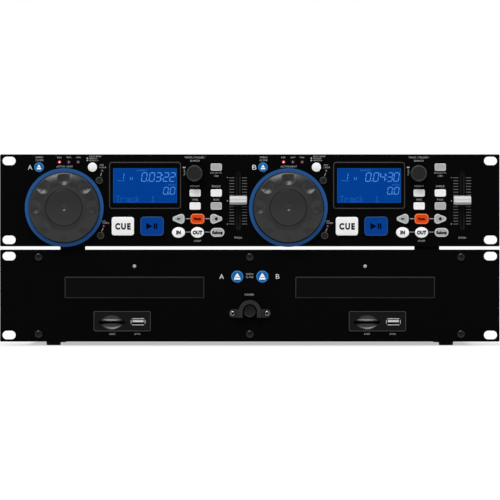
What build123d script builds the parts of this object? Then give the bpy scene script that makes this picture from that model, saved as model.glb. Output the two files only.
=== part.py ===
"""Twin disc player for a DJ rack: a control unit that stands on the player it works.

Millimetres, +X right, +Y into the depth, +Z up. The origin is the middle of the
footprint on the surface under the feet. Depths are first counted from the face of
the front panels, and save() moves each piece back by half the overall depth.
"""

import os
from collections import namedtuple
from math import cos, radians, sin

from build123d import *

os.makedirs("parts", exist_ok=True)

# ---------------------------------------------------------------- driving sizes
# Rack format, shared by both units
PANEL_W = 482.6
PANEL_H = 88.9
PANEL_T = 3.0
PANEL_CORNER = 1.2
RACK_SPACING_X = 465.1
RACK_SPACING_Z = 76.2
RACK_SLOT_L = 12.7
RACK_SLOT_H = 8.2
SHEET_T = 1.2  # folded steel of both housings
FOOT_DROP = 3.7  # feet below the player's panel
UNIT_GAP = 3.1  # between the two panels

# Clearances
KEY_FIT = 0.3  # round a key in its hole
SEAT = 0.3  # between a moving piece and its stop
RUN = 0.05  # radial, a shaft in its bearing
TRIM_FIT = 0.1  # round a fixed piece in its hole
SMALL_SIDES = 16  # of the small round forms that repeat: lamps, screws, jacks and their holes

# Housings
PLAYER_W = 434.0
PLAYER_H = 86.0
PLAYER_D = 240.0
CONTROL_W = 436.0
CONTROL_H = 84.0
CONTROL_D = 66.0
COVER_FLAP = 40.0  # the cover's overlap down each side
VENT_L = 24.0
VENT_W = 2.6
VENT_PITCH = 7.0
VENT_COUNT = 8
VENT_X = 110.0
VENT_BACK = 23.0  # from the vents to the rear wall's face

# Feet and pads
FOOT_D = 14.6
FOOT_TAPER = 0.6
FOOT_X = 190.2
FOOT_FRONT_Y = 24.0
FOOT_REAR = 27.0  # from the rear feet's axes to the rear wall's face
PAD_X = 172.0
PAD_W = 23.0
PAD_D = 12.0
PAD_FRONT_Y = 14.0
PAD_REAR_Y = 50.0

# Decks on the control unit: places are counted from each jog wheel's axis along X
# and from the middle of the panel along Z
DECK_PITCH = 216.4
JOG_X = -179.2
JOG_Z = -7.0
RING_D = 76.0
RING_PROUD = 4.0
RING_GAP = 0.35
DIAL_D = 68.5
DIAL_PROUD = 11.0  # its rim
DIAL_BACK = 0.8
DIAL_BEVEL = 1.4
DIAL_CROWN = 3.4  # rise of the dial's face from its rim to its groove
DIMPLE_COUNT = 8
DIMPLE_D = 12.4
DIMPLE_DEPTH = 2.2
DIMPLE_RADIUS = 27.2  # from the axis
CENTRE_D = 34.9
CENTRE_GROOVE = 0.7
CENTRE_SINK = 3.6
CENTRE_RISE = 1.0
SPINDLE_D = 8.0
SPINDLE_HUB_D = 16.0
SPINDLE_HUB_L = 9.0
CLIP_D = 12.0
CLIP_T = 1.0
CODE_DISC_D = 30.0
CODE_DISC_T = 0.8

# Display
DISPLAY_X = 78.0
DISPLAY_Z = 14.4
DISPLAY_W = 69.6
DISPLAY_H = 45.5
DISPLAY_CORNER = 3.0
DISPLAY_PROUD = 1.0
DISPLAY_LIP = 0.6
LCD_W = 61.7
LCD_H = 33.6
LCD_SINK = 0.4  # its glass below the bezel's face
LCD_BODY_W = 65.0
LCD_BODY_H = 40.0

# Keys
KEY_BEVEL = 0.5
COLLAR_LIP = 0.9
COLLAR_T = 1.2
STEM_W = 3.0
KEY_TRAVEL = 0.8
KEY_PROUD = 2.0
BIG_KEY_TRAVEL = 1.2
BIG_KEY_PROUD = 3.0
EJECT_KEY_D = 9.2
MODE_KEY_D = 8.9
SMALL_KEY_D = 7.0
CUE_W = 21.6
CUE_H = 17.9
PLAY_W = 22.9
PLAY_H = 18.6
BIG_KEY_CORNER = 2.6
PITCH_KEY_W = 13.4
PITCH_KEY_H = 9.8
PITCH_KEY_CORNER = 3.2
BEND_KEY_W = 11.5
BEND_KEY_H = 9.5
BEND_TIP_R = 2.4
BEND_BASE_R = 3.2
LOOP_KEY_W = 12.7
LOOP_KEY_H = 10.3
RELOOP_W = 13.3
RELOOP_H = 8.6
OPTION_KEY_W = 10.8
OPTION_KEY_H = 7.1
OPTION_KEY_CORNER = 1.5

# Columns and rows of the keys
EJECT_X = -24.4
MODE_X = 27.2
TOP_ROW = 32.0
UPPER_KEY_X = 33.8
UPPER_KEY_Z = 19.2
LOWER_KEY_X = 35.1
LOWER_KEY_Z = -34.0
CUE_X = 56.6
PLAY_X = 84.8
PLAY_ROW = -25.0
MINUS_X = 110.4
KNOB_X = 125.8
REPEAT_X = 126.4
PITCH_X = 128.7
PLUS_X = 146.8
RELOOP_X = 148.0
BEND_ROW = -17.9
LOOP_ROW = -31.0
TIME_ROW = -5.5
REPEAT_ROW = 7.1

# Indicator lamps
LAMP_D = 3.4
LAMP_PROUD = 0.7
LAMP_Z = 36.9
LAMP_X = (-4.6, 4.4, 13.4)
SMALL_LAMP_D = 2.6
UPPER_LAMP = (36.6, 28.6)
LOWER_LAMP = (38.0, -24.9)

# Track knob
TRACK_Z = 25.9
TRACK_KNOB_D = 16.3
TRACK_KNOB_TOP_D = 15.0
TRACK_KNOB_L = 12.0
TRACK_KNOB_BACK = 1.6
TRACK_SHAFT_D = 6.0
TRACK_SHAFT_GRIP = 8.0  # its length inside the knob
TRACK_BUSH_D = 7.6
TRACK_BUSH_PROUD = 1.0
TRACK_BODY_W = 12.6
TRACK_BODY_T = 6.0
TRACK_PUSH = 0.5
PLUNGER_D = 9.0
PLUNGER_T = 1.4

# Pitch fader
FADER_X = 168.1
FADER_TRAVEL = 45.0
FADER_SLOT_L = 57.5
FADER_SLOT_W = 4.6
CAP_W = 16.7
CAP_H = 8.6
CAP_BACK = 1.5
CAP_L = 7.6
# Half of the cap's side view, as shares of half its height and of its length: straight
# skirt, slope, rounded crest, finger hollow, and the raised pointer in the middle
CAP_PROFILE = ((1, 0), (1, 0.3), (0.8, 0.9), (0.62, 1), (0.35, 0.84), (0.14, 0.84), (0.1, 0.95))
LEVER_W = 1.6
LEVER_H = 5.0
FADER_BODY_W = 10.0
FADER_BODY_H = 70.0
FADER_BODY_T = 8.0

# Control board behind the keys
BOARD_Y = 14.0
BOARD_T = 1.6
BOARD_W = 432.0
BOARD_H = 78.0
SWITCH_W = 6.0
SWITCH_T = 4.3
POST_D = 5.0
POST_X = (-213.2, 0.0, 196.5)
POST_Z = 35.5
LIP_L = 10.0  # the panel's folded edges, which the housing goes over
HOUSING_SCREW_X = 151.0

# Player front: places are counted from the middle of its panel
SCREW_X = 204.0
SCREW_Z = 37.2
SCREW_HEAD_D = 7.4
SCREW_HEAD_T = 2.4
SCREW_D = 3.8
SCREW_L = 7.0
SCREW_FIT = 0.2
TRAY_X = 111.4
TRAY_Z = 7.8
DOOR_W = 134.9
DOOR_H = 20.8
DOOR_PROUD = 1.2
DOOR_T = 3.6
DOOR_BEVEL = 0.8
DOOR_FIT = 0.5
TRAY_LAMP_Z = 28.4
TRAY_KEY_X = 12.1
TRAY_KEY_Z = 18.3
TRAY_KEY_D = 11.6
POWER_Z = -15.0
POWER_D = 11.6
POWER_PROUD = 5.0
POWER_TRAVEL = 3.0
GUARD_R = 10.8
GUARD_BORE_R = 6.9
GUARD_PROUD = 9.0
GUARD_EAR_X = 20.1
GUARD_EAR_H = 8.2
GUARD_EAR_T = 2.4
GUARD_EAR_CORNER = 3.3
GUARD_BOTTOM = -21.3
GUARD_SCREW_X = 16.6
GUARD_SCREW_HEAD_D = 4.6
PORT_X = 123.3
PORT_Z = -24.8
PORT_W = 55.2
PORT_H = 19.5
PORT_CORNER = 1.6
PORT_PROUD = 0.9
PORT_RIM = 1.0
PORT_DISH = 0.5  # face of the plate below its rim
CARD_X = -10.0  # card slot and its finger dip, from the plate's middle
CARD_Z = -1.0
CARD_W = 26.4
CARD_H = 13.4
CARD_DIP = 1.8
CARD_SLOT_W = 24.4
CARD_SLOT_H = 2.4
USB_X = 15.4
USB_W = 13.2
USB_H = 7.0
USB_WALL = 0.5
USB_D = 14.0
USB_TONGUE_H = 2.0
KEYBOARD_W = 62.0
KEYBOARD_H = 62.0
KEYBOARD_Z = 1.0
WINDOW_W = 52.0  # cut in the chassis front behind the middle keys
WINDOW_H = 54.0

# Disc trays and drives, counted from each tray's middle and the player's middle
TRAY_TRAVEL = 134.0
TRAY_GRIP = 26.0  # length that stays on the rails when the tray is out
TRAY_BODY_W = 126.0
TRAY_RAIL_W = 131.0
TRAY_RAIL_T = 2.2
TRAY_BOTTOM = 2.0
TRAY_BODY_T = 6.5
WELL_D = 122.0
WELL_DEPTH = 2.6
SMALL_WELL_D = 82.0
SMALL_WELL_DEPTH = 1.0
DISC_Y = 68.0  # disc centre behind the door
SLED_SLOT_W = 34.0
SLED_SLOT_L = 77.0
RAIL_FIT = 0.4
DRIVE_GAP = 8.8  # from the drives to the main board
DRIVE_WALL = 2.5
DRIVE_BASE_T = 2.0
DRIVE_BASE = -13.0
DRIVE_TOP = 14.0
DRIVE_WELL_W = 60.0
DRIVE_WELL_L = 104.0
DRIVE_WELL_NEAR = 24.0  # its near edge before the disc's centre
DRIVE_LEG_D = 9.0
BRIDGE_L = 24.0
CLAMP_D = 30.0
CLAMP_T = 2.4
TRAVERSE_T = 1.5
TRAVERSE_LAP = 4.0  # on the drive's base, round its well
MOTOR_D = 24.0
MOTOR_T = 5.6
TABLE_D = 29.0
TABLE_T = 2.4
TABLE_HUB_D = 14.6
TABLE_HUB_T = 1.8
ROD_D = 3.0
ROD_L = 66.0
ROD_X = 15.0
ROD_Z = 3.0  # its axis above the traverse plate
SLED_W = 38.0
SLED_L = 22.0
SLED_T = 4.6
LENS_D = 7.0
LENS_T = 0.9
SLED_Y = 4.2  # from the ends of the rods

# Rear of the player and of the control unit
JACK_D = 8.4
JACK_BORE = 3.4
JACK_L = 9.0
JACK_PITCH = 14.0
JACK_BLOCK_D = 12.0
JACK_BLOCK_GAP = 1.0
JACK_X = 120.0
JACK_Z = 10.0
LINK_W = 14.0
LINK_BORE = 9.4
LINK_SINK = 1.2
LINK_X = 60.0
LINK_D = 12.0
INLET_W = 27.6
INLET_H = 20.0
INLET_WALL = 2.2
INLET_D = 20.0
INLET_PROUD = 1.6
INLET_FLANGE_W = 31.0
INLET_FLANGE_H = 23.6
PIN_W = 4.0
PIN_T = 2.0
PIN_SINK = 4.8  # of the pins' ends below the inlet's mouth
PIN_X = 7.0
PIN_Z = 2.2

# Boards and transformer in the player
MAIN_BOARD_W = 380.0
MAIN_BOARD_D = 36.0
MAIN_BOARD_Z = -30.0
MAIN_BOARD_BACK = 9.0  # from the board to the rear wall's face
SUPPLY_BOARD_W = 62.0
SUPPLY_BOARD_D = 120.0
SUPPLY_BOARD_Y = 50.0
CORE_W = 42.0
CORE_D = 36.0
CORE_H = 30.0
COIL_W = 21.0
COIL_D = 50.0
COIL_H = 18.0
PORT_BOARD_W = 50.0
PORT_BOARD_D = 34.0
CARD_READER_D = 28.0
CARD_READER_WALL = 1.0

# ---------------------------------------------------------------- places worked out
PLAYER_Z = FOOT_DROP + PANEL_H / 2
CONTROL_Z = PLAYER_Z + PANEL_H + UNIT_GAP
PLAYER_BASE = PLAYER_Z - PLAYER_H / 2
PLAYER_TOP = PLAYER_Z + PLAYER_H / 2
CONTROL_BASE = CONTROL_Z - CONTROL_H / 2
PLAYER_BACK = PANEL_T + PLAYER_D
CONTROL_BACK = PANEL_T + CONTROL_D
JOG_FRONT = DIAL_PROUD + DIAL_CROWN + CENTRE_RISE
TO_MIDDLE = Pos(0, -(PLAYER_BACK + JACK_L - JOG_FRONT) / 2, 0)
COLLAR_Y = PANEL_T + SEAT
STEM_Y = COLLAR_Y + COLLAR_T
SWITCH_Y = BOARD_Y - SWITCH_T
PLUNGER_Y = SWITCH_Y + SEAT
DOOR_Y = DOOR_T - DOOR_PROUD
FLOOR_Z = PLAYER_BASE + SHEET_T
MAIN_BOARD_Y = PLAYER_BACK - MAIN_BOARD_BACK - MAIN_BOARD_D
DRIVE_Y = PANEL_T + SHEET_T
DRIVE_D = MAIN_BOARD_Y - DRIVE_GAP - DRIVE_Y
DECKS = {"a": JOG_X, "b": JOG_X + DECK_PITCH}
SIDES = {"a": -1, "b": 1}


# ---------------------------------------------------------------- shared forms
def front(x, z, y):
    """Plane that faces the user at one place on the front and one depth."""
    return Plane(origin=(x, y, z), x_dir=(1, 0, 0), z_dir=(0, -1, 0))


def slab(outline, x, z, near, far):
    """Outline seen from the front, as a solid between two depths."""
    return extrude(front(x, z, far) * outline, far - near)


def block(width, depth, height, x, near, low):
    """Box by its middle along X, its near face and its underside."""
    return Pos(x, near + depth / 2, low + height / 2) * Box(width, depth, height)


def turned(points, x, z):
    """Solid turned about the depth axis from radius and depth points."""
    return Pos(x, 0, z) * revolve(Polygon(*points, align=None), Axis.Y)


def small_disc(diameter):
    """Round outline of few sides, for what repeats many times."""
    return RegularPolygon(diameter / 2, SMALL_SIDES)


def screw_hole():
    return small_disc(SCREW_D + 2 * SCREW_FIT)


def front_edges(solid):
    """Edges round the face that is nearest to the user."""
    return solid.faces().sort_by(Axis.Y)[0].edges()


def save(node, *pieces):
    """Write one sub-part, each of its pieces a separate solid."""
    solids = [solid for piece in pieces for solid in (TO_MIDDLE * piece).solids()]
    export_step(Compound(solids), f"parts/{node}.step")


# ---------------------------------------------------------------- keys
Key = namedtuple("Key", "name x z outline width height proud travel bevel")


def circle(diameter):
    return lambda grow: Circle(diameter / 2 + grow)


def oval(width, height):
    return lambda grow: Ellipse(width / 2 + grow, height / 2 + grow)


def stadium(width, height):
    return lambda grow: SlotOverall(width + 2 * grow, height + 2 * grow)


def rounded(width, height, corner):
    return lambda grow: RectangleRounded(width + 2 * grow, height + 2 * grow, corner + grow)


def drop(width, height, tip, base, side):
    """Rounded triangle that points to one side."""

    def outline(grow):
        corners = [Pos(side * (width / 2 - tip), 0) * Circle(tip + grow)]
        for end in (-1, 1):
            place = Pos(side * (base - width / 2), end * (height / 2 - base))
            corners.append(place * Circle(base + grow))
        return make_hull(ShapeList(edge for corner in corners for edge in corner.edges()))

    return outline


def small_key(name, x, z, outline, width, height):
    return Key(name, x, z, outline, width, height, KEY_PROUD, KEY_TRAVEL, 0)


def big_key(name, x, width, height):
    outline = rounded(width, height, BIG_KEY_CORNER)
    return Key(name, x, PLAY_ROW, outline, width, height, BIG_KEY_PROUD, BIG_KEY_TRAVEL, KEY_BEVEL)


def round_key(name, x, z, diameter):
    return small_key(name, x, z, circle(diameter), diameter, diameter)


def option_key(name, x, z):
    outline = rounded(OPTION_KEY_W, OPTION_KEY_H, OPTION_KEY_CORNER)
    return small_key(name, x, z, outline, OPTION_KEY_W, OPTION_KEY_H)


def loop_key(name, x):
    return small_key(name, x, LOOP_ROW, oval(LOOP_KEY_W, LOOP_KEY_H), LOOP_KEY_W, LOOP_KEY_H)


def bend_key(name, x, side):
    outline = drop(BEND_KEY_W, BEND_KEY_H, BEND_TIP_R, BEND_BASE_R, side)
    return small_key(name, x, BEND_ROW, outline, BEND_KEY_W, BEND_KEY_H)


DECK_KEYS = [
    round_key("eject_button", EJECT_X, TOP_ROW, EJECT_KEY_D),
    round_key("mode_button", MODE_X, TOP_ROW, MODE_KEY_D),
    round_key("upper_button", UPPER_KEY_X, UPPER_KEY_Z, SMALL_KEY_D),
    round_key("lower_button", LOWER_KEY_X, LOWER_KEY_Z, SMALL_KEY_D),
    big_key("cue_button", CUE_X, CUE_W, CUE_H),
    big_key("play_button", PLAY_X, PLAY_W, PLAY_H),
    bend_key("minus_button", MINUS_X, -1),
    small_key("pitch_button", PITCH_X, BEND_ROW,
              rounded(PITCH_KEY_W, PITCH_KEY_H, PITCH_KEY_CORNER), PITCH_KEY_W, PITCH_KEY_H),
    bend_key("plus_button", PLUS_X, 1),
    loop_key("loop_in_button", MINUS_X),
    loop_key("loop_out_button", PITCH_X),
    small_key("reloop_button", RELOOP_X, LOOP_ROW, stadium(RELOOP_W, RELOOP_H), RELOOP_W, RELOOP_H),
    option_key("repeat_button", REPEAT_X, REPEAT_ROW),
    option_key("time_button", REPEAT_X, TIME_ROW),
    option_key("single_button", PLUS_X, REPEAT_ROW),
    option_key("program_button", PLUS_X, TIME_ROW),
    option_key("source_button", PLUS_X, TOP_ROW),
]

TRAY_KEYS = [
    round_key(f"tray_button_{deck}", side * TRAY_KEY_X, TRAY_KEY_Z, TRAY_KEY_D)
    for deck, side in SIDES.items()
]
POWER_KEY = Key("power_button", 0, POWER_Z, circle(POWER_D), POWER_D, POWER_D,
                POWER_PROUD, POWER_TRAVEL, KEY_BEVEL)


def key_solid(key, x, z):
    """Cap, a collar that stops behind the panel, and a stem to the switch."""
    cap = slab(key.outline(0), x, z, -key.proud, COLLAR_Y)
    if key.bevel:
        cap = chamfer(front_edges(cap), key.bevel)
    collar_outline = Rectangle(key.width + 2 * COLLAR_LIP, key.height + 2 * COLLAR_LIP)
    collar = slab(collar_outline, x, z, COLLAR_Y, STEM_Y)
    stem = slab(Rectangle(STEM_W, STEM_W), x, z, STEM_Y, SWITCH_Y - key.travel - SEAT)
    return cap + collar + stem


def switch(x, z):
    """Push switch on the face of its board, behind one key."""
    return slab(Rectangle(SWITCH_W, SWITCH_W), x, z, SWITCH_Y, BOARD_Y)


# ---------------------------------------------------------------- panels
def rack_panel_outline():
    """Front panel with its four slotted rack holes."""
    outline = RectangleRounded(PANEL_W, PANEL_H, PANEL_CORNER)
    slots = GridLocations(RACK_SPACING_X, RACK_SPACING_Z, 2, 2)
    return outline - slots * SlotOverall(RACK_SLOT_L, RACK_SLOT_H)


def control_front_panel():
    """Panel with the holes of both decks, folded edges, spindle hubs and board posts."""
    outline = rack_panel_outline()
    for deck_x in DECKS.values():
        holes = [Pos(key.x, key.z) * key.outline(KEY_FIT) for key in DECK_KEYS]
        holes += [Pos(x, LAMP_Z) * small_disc(LAMP_D + 2 * RUN) for x in LAMP_X]
        holes += [Pos(*place) * small_disc(SMALL_LAMP_D + 2 * RUN) for place in (UPPER_LAMP, LOWER_LAMP)]
        holes += [
            Pos(0, JOG_Z) * Circle(SPINDLE_D / 2 + RUN),
            Pos(KNOB_X, TRACK_Z) * Circle(TRACK_BUSH_D / 2 + TRIM_FIT),
            Pos(FADER_X, 0) * SlotOverall(FADER_SLOT_L, FADER_SLOT_W, rotation=90),
            Pos(DISPLAY_X, DISPLAY_Z) * display_outline(TRIM_FIT - DISPLAY_LIP),
        ]
        outline -= [Pos(deck_x, 0) * hole for hole in holes]
    panel = slab(outline, 0, CONTROL_Z, 0, PANEL_T)
    for deck_x in DECKS.values():
        hub = Circle(SPINDLE_HUB_D / 2) - Circle(SPINDLE_D / 2 + RUN)
        panel += slab(hub, deck_x, CONTROL_Z + JOG_Z, PANEL_T, PANEL_T + SPINDLE_HUB_L)
    post = RegularPolygon(POST_D / 2, 6)
    for x in POST_X:
        for end in (-1, 1):
            panel += slab(post, x, CONTROL_Z + end * POST_Z, PANEL_T, BOARD_Y)
    under_wall = CONTROL_H / 2 - SHEET_T
    for low in (-under_wall, under_wall - SHEET_T):
        panel += block(BOARD_W, LIP_L, SHEET_T, 0, PANEL_T, CONTROL_Z + low)
    for x, y in control_screw_places():
        panel -= Pos(x, y, CONTROL_Z) * extrude(screw_hole(), CONTROL_H)
    return panel


def display_outline(grow):
    return RectangleRounded(DISPLAY_W + 2 * grow, DISPLAY_H + 2 * grow, DISPLAY_CORNER + grow)


def player_front_panel():
    """Panel with the tray mouths, port cut-outs and the holes in the middle."""
    outline = rack_panel_outline()
    holes = [Pos(key.x, key.z) * key.outline(KEY_FIT) for key in (*TRAY_KEYS, POWER_KEY)]
    for side in SIDES.values():
        mouth = Rectangle(DOOR_W + 2 * DOOR_FIT, DOOR_H + 2 * DOOR_FIT)
        holes.append(Pos(side * TRAY_X, TRAY_Z) * mouth)
        holes.append(Pos(side * TRAY_X, TRAY_LAMP_Z) * small_disc(LAMP_D + 2 * RUN))
        holes.append(Pos(side * PORT_X, PORT_Z) * port_outline(TRIM_FIT - PORT_RIM))
        holes.append(Pos(side * GUARD_SCREW_X, guard_screw_z()) * screw_hole())
    holes += [Pos(x, z) * screw_hole() for x, z in panel_screw_places()]
    return slab(outline - holes, 0, PLAYER_Z, 0, PANEL_T)


def port_outline(grow):
    return RectangleRounded(PORT_W + 2 * grow, PORT_H + 2 * grow, PORT_CORNER)


def guard_screw_z():
    return GUARD_BOTTOM + GUARD_EAR_H / 2


def panel_screw_places():
    return [(x, z) for x in (-SCREW_X, 0, SCREW_X) for z in (-SCREW_Z, SCREW_Z)]


# ---------------------------------------------------------------- housings
def control_housing():
    """Sheet box behind the control panel, open at the front, with its link sockets' holes."""
    box = block(CONTROL_W, CONTROL_D, CONTROL_H, 0, PANEL_T, CONTROL_BASE)
    box -= block(CONTROL_W - 2 * SHEET_T, CONTROL_D - SHEET_T, CONTROL_H - 2 * SHEET_T,
                 0, PANEL_T, CONTROL_BASE + SHEET_T)
    for side in SIDES.values():
        hole = Rectangle(LINK_W + 2 * TRIM_FIT, LINK_W + 2 * TRIM_FIT)
        box -= slab(hole, side * LINK_X, CONTROL_Z, CONTROL_BACK - SHEET_T, CONTROL_BACK)
    for x, y in control_screw_places():
        box -= Pos(x, y, CONTROL_Z) * extrude(screw_hole(), CONTROL_H)
    return box


def control_screw_places():
    return [(side * HOUSING_SCREW_X, PANEL_T + LIP_L / 2) for side in SIDES.values()]


def player_chassis():
    """Tray of folded steel: floor, two sides, rear wall and a front wall with its windows."""
    height = PLAYER_H - SHEET_T
    box = block(PLAYER_W, PLAYER_D, height, 0, PANEL_T, PLAYER_BASE)
    box -= block(PLAYER_W - 2 * SHEET_T, PLAYER_D - 2 * SHEET_T, height, 0, PANEL_T + SHEET_T, FLOOR_Z)
    wall = PANEL_T + SHEET_T
    box -= slab(Rectangle(WINDOW_W, WINDOW_H), 0, PLAYER_Z + KEYBOARD_Z, PANEL_T, wall)
    for side in SIDES.values():
        mouth = Rectangle(DOOR_W + 2 * DOOR_FIT, DOOR_H + 2 * DOOR_FIT)
        box -= slab(mouth, side * TRAY_X, PLAYER_Z + TRAY_Z, PANEL_T, wall)
        ports = Rectangle(PORT_W, PORT_H)
        box -= slab(ports, side * PORT_X, PLAYER_Z + PORT_Z, PANEL_T, wall)
        lamp = small_disc(LAMP_D + 2 * RUN)
        box -= slab(lamp, side * TRAY_X, PLAYER_Z + TRAY_LAMP_Z, PANEL_T, wall)
        for x, z in jack_places(side):
            box -= slab(small_disc(JACK_D + 2 * TRIM_FIT), x, z, PLAYER_BACK - SHEET_T, PLAYER_BACK)
        hole = Rectangle(LINK_W + 2 * TRIM_FIT, LINK_W + 2 * TRIM_FIT)
        box -= slab(hole, side * LINK_X, link_z(), PLAYER_BACK - SHEET_T, PLAYER_BACK)
    for x, z in panel_screw_places():
        box -= slab(screw_hole(), x, PLAYER_Z + z, PANEL_T, wall)
    inlet = Rectangle(INLET_W + 2 * TRIM_FIT, INLET_H + 2 * TRIM_FIT)
    box -= slab(inlet, 0, PLAYER_Z, PLAYER_BACK - SHEET_T, PLAYER_BACK)
    post = RegularPolygon(POST_D / 2, 6)
    for x in (-1, 1):
        for z in (-1, 1):
            place = (x * (KEYBOARD_W - POST_D) / 2, PLAYER_Z + KEYBOARD_Z + z * (KEYBOARD_H - POST_D) / 2)
            box += slab(post, *place, wall, BOARD_Y)
    for x, y, top in board_posts():
        box += Pos(x, y, FLOOR_Z) * extrude(post, top - FLOOR_Z)
    return box


def board_posts():
    """Posts on the floor of the chassis, each up to the board that it carries."""
    main_y = MAIN_BOARD_Y + MAIN_BOARD_D / 2
    places = [(side * (MAIN_BOARD_W / 2 - POST_D), main_y) for side in (-1, 0, 1)]
    for end in (POST_D, SUPPLY_BOARD_D - POST_D):
        places += [(side * (SUPPLY_BOARD_W / 2 - POST_D), SUPPLY_BOARD_Y + end) for side in (-1, 1)]
    posts = [(x, y, PLAYER_Z + MAIN_BOARD_Z) for x, y in places]
    for side in SIDES.values():
        for end in (-1, 1):
            x = side * PORT_X + end * (PORT_BOARD_W / 2 - POST_D)
            posts.append((x, PANEL_T + PORT_BOARD_D - POST_D, port_board_z()))
    return posts


def port_board_z():
    return PLAYER_Z + PORT_Z - USB_H / 2 - BOARD_T


def link_z():
    return PLAYER_Z + JACK_Z


def jack_places(side):
    """Three phono sockets for each deck: left and right above, digital below."""
    x = side * JACK_X
    return [(x - JACK_PITCH / 2, link_z()), (x + JACK_PITCH / 2, link_z()), (x, link_z() - JACK_PITCH)]


def player_cover():
    """Lid of folded steel over the player, with a flap down each side and two rows of vents."""
    flap = COVER_FLAP + SHEET_T
    cover = block(PLAYER_W + 2 * SHEET_T, PLAYER_D, flap, 0, PANEL_T, PLAYER_TOP - flap)
    cover -= block(PLAYER_W, PLAYER_D, COVER_FLAP, 0, PANEL_T, PLAYER_TOP - flap)
    first = -(VENT_COUNT - 1) / 2 * VENT_PITCH
    near = PLAYER_BACK - VENT_BACK - VENT_L
    for side in SIDES.values():
        for count in range(VENT_COUNT):
            x = side * VENT_X + first + count * VENT_PITCH
            cover -= block(VENT_W, VENT_L, SHEET_T, x, near, PLAYER_TOP - SHEET_T)
    return cover


def rubber_feet():
    """Four feet under the player and four pads under the control unit."""
    pieces = []
    for side in SIDES.values():
        for y in (FOOT_FRONT_Y, PLAYER_BACK - FOOT_REAR):
            foot = loft([Plane.XY * small_disc(FOOT_D - 2 * FOOT_TAPER),
                         Plane.XY.offset(PLAYER_BASE) * small_disc(FOOT_D)])
            pieces.append(Pos(side * FOOT_X, y, 0) * foot)
        for y in (PAD_FRONT_Y, PAD_REAR_Y):
            pad = block(PAD_W, PAD_D, CONTROL_BASE - PLAYER_TOP, side * PAD_X, y, PLAYER_TOP)
            pieces.append(pad)
    return pieces


# ---------------------------------------------------------------- jog wheels and lamps
def jog_wheel(x, z):
    """Dial with finger dimples, its raised centre, and the spindle with its clip and disc."""
    rim, shaft = DIAL_D / 2, SPINDLE_D / 2
    groove = CENTRE_D / 2 + CENTRE_GROOVE
    face, crown = -DIAL_PROUD, -DIAL_PROUD - DIAL_CROWN
    floor = crown + CENTRE_SINK
    dial = turned([
        (0, -DIAL_BACK), (rim, -DIAL_BACK), (rim, face + DIAL_BEVEL), (rim - DIAL_BEVEL, face),
        (groove, crown), (groove, floor), (0, floor)], x, z)
    ball = (DIMPLE_D**2 / 4 + DIMPLE_DEPTH**2) / (2 * DIMPLE_DEPTH)
    share = (rim - DIAL_BEVEL - DIMPLE_RADIUS) / (rim - DIAL_BEVEL - groove)
    surface = face - DIAL_CROWN * share
    for count in range(DIMPLE_COUNT):
        angle = radians(90 + count * 360 / DIMPLE_COUNT)
        place = (x + DIMPLE_RADIUS * cos(angle), surface - ball + DIMPLE_DEPTH,
                 z + DIMPLE_RADIUS * sin(angle))
        dial -= Pos(*place) * Sphere(ball)
    edge = CENTRE_D / 2
    centre = turned([(0, floor), (edge, floor), (edge, crown), (0, crown - CENTRE_RISE)], x, z)
    clip = PANEL_T + SPINDLE_HUB_L + SEAT
    disc = BOARD_Y + BOARD_T + SEAT
    spindle = turned([
        (0, -DIAL_BACK), (shaft, -DIAL_BACK), (shaft, clip), (CLIP_D / 2, clip),
        (CLIP_D / 2, clip + CLIP_T), (shaft, clip + CLIP_T), (shaft, disc), (CODE_DISC_D / 2, disc),
        (CODE_DISC_D / 2, disc + CODE_DISC_T), (0, disc + CODE_DISC_T)], x, z)
    return [dial, centre, spindle]


def light_guides():
    """Glowing ring round each jog wheel, and the light pipes of the indicator lamps."""
    pieces = []
    bore = DIAL_D / 2 + RING_GAP
    for x in DECKS.values():
        ring = Circle(RING_D / 2) - Circle(bore)
        pieces.append(slab(ring, x, CONTROL_Z + JOG_Z, -RING_PROUD, 0))
        for place in LAMP_X:
            pipe = small_disc(LAMP_D)
            pieces.append(slab(pipe, x + place, CONTROL_Z + LAMP_Z, -LAMP_PROUD, BOARD_Y))
        for place, height in (UPPER_LAMP, LOWER_LAMP):
            pipe = small_disc(SMALL_LAMP_D)
            pieces.append(slab(pipe, x + place, CONTROL_Z + height, -LAMP_PROUD, BOARD_Y))
    for side in SIDES.values():
        z = PLAYER_Z + TRAY_LAMP_Z
        pieces.append(slab(small_disc(LAMP_D), side * TRAY_X, z, -LAMP_PROUD, PANEL_T + 2 * SHEET_T))
    return pieces


def displays():
    """Bezel in its cut-out and the screen module that fills it, for each deck."""
    pieces = []
    back = PANEL_T + SHEET_T
    for deck_x in DECKS.values():
        x, z = deck_x + DISPLAY_X, CONTROL_Z + DISPLAY_Z
        bezel = chamfer(front_edges(slab(display_outline(0), x, z, -DISPLAY_PROUD, 0)), DISPLAY_LIP)
        bezel += slab(display_outline(-DISPLAY_LIP), x, z, 0, back)
        glass = Rectangle(LCD_W, LCD_H)
        bezel -= slab(glass, x, z, -DISPLAY_PROUD, back)
        screen = slab(glass, x, z, LCD_SINK - DISPLAY_PROUD, back)
        screen += slab(Rectangle(LCD_BODY_W, LCD_BODY_H), x, z, back, BOARD_Y)
        pieces += [bezel, screen]
    return pieces


# ---------------------------------------------------------------- track knob and fader
def track_plunger(x, z):
    """Disc inside the rotary encoder that the pushed knob moves."""
    return slab(Circle(PLUNGER_D / 2), x, z, PLUNGER_Y, PLUNGER_Y + PLUNGER_T)


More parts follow.
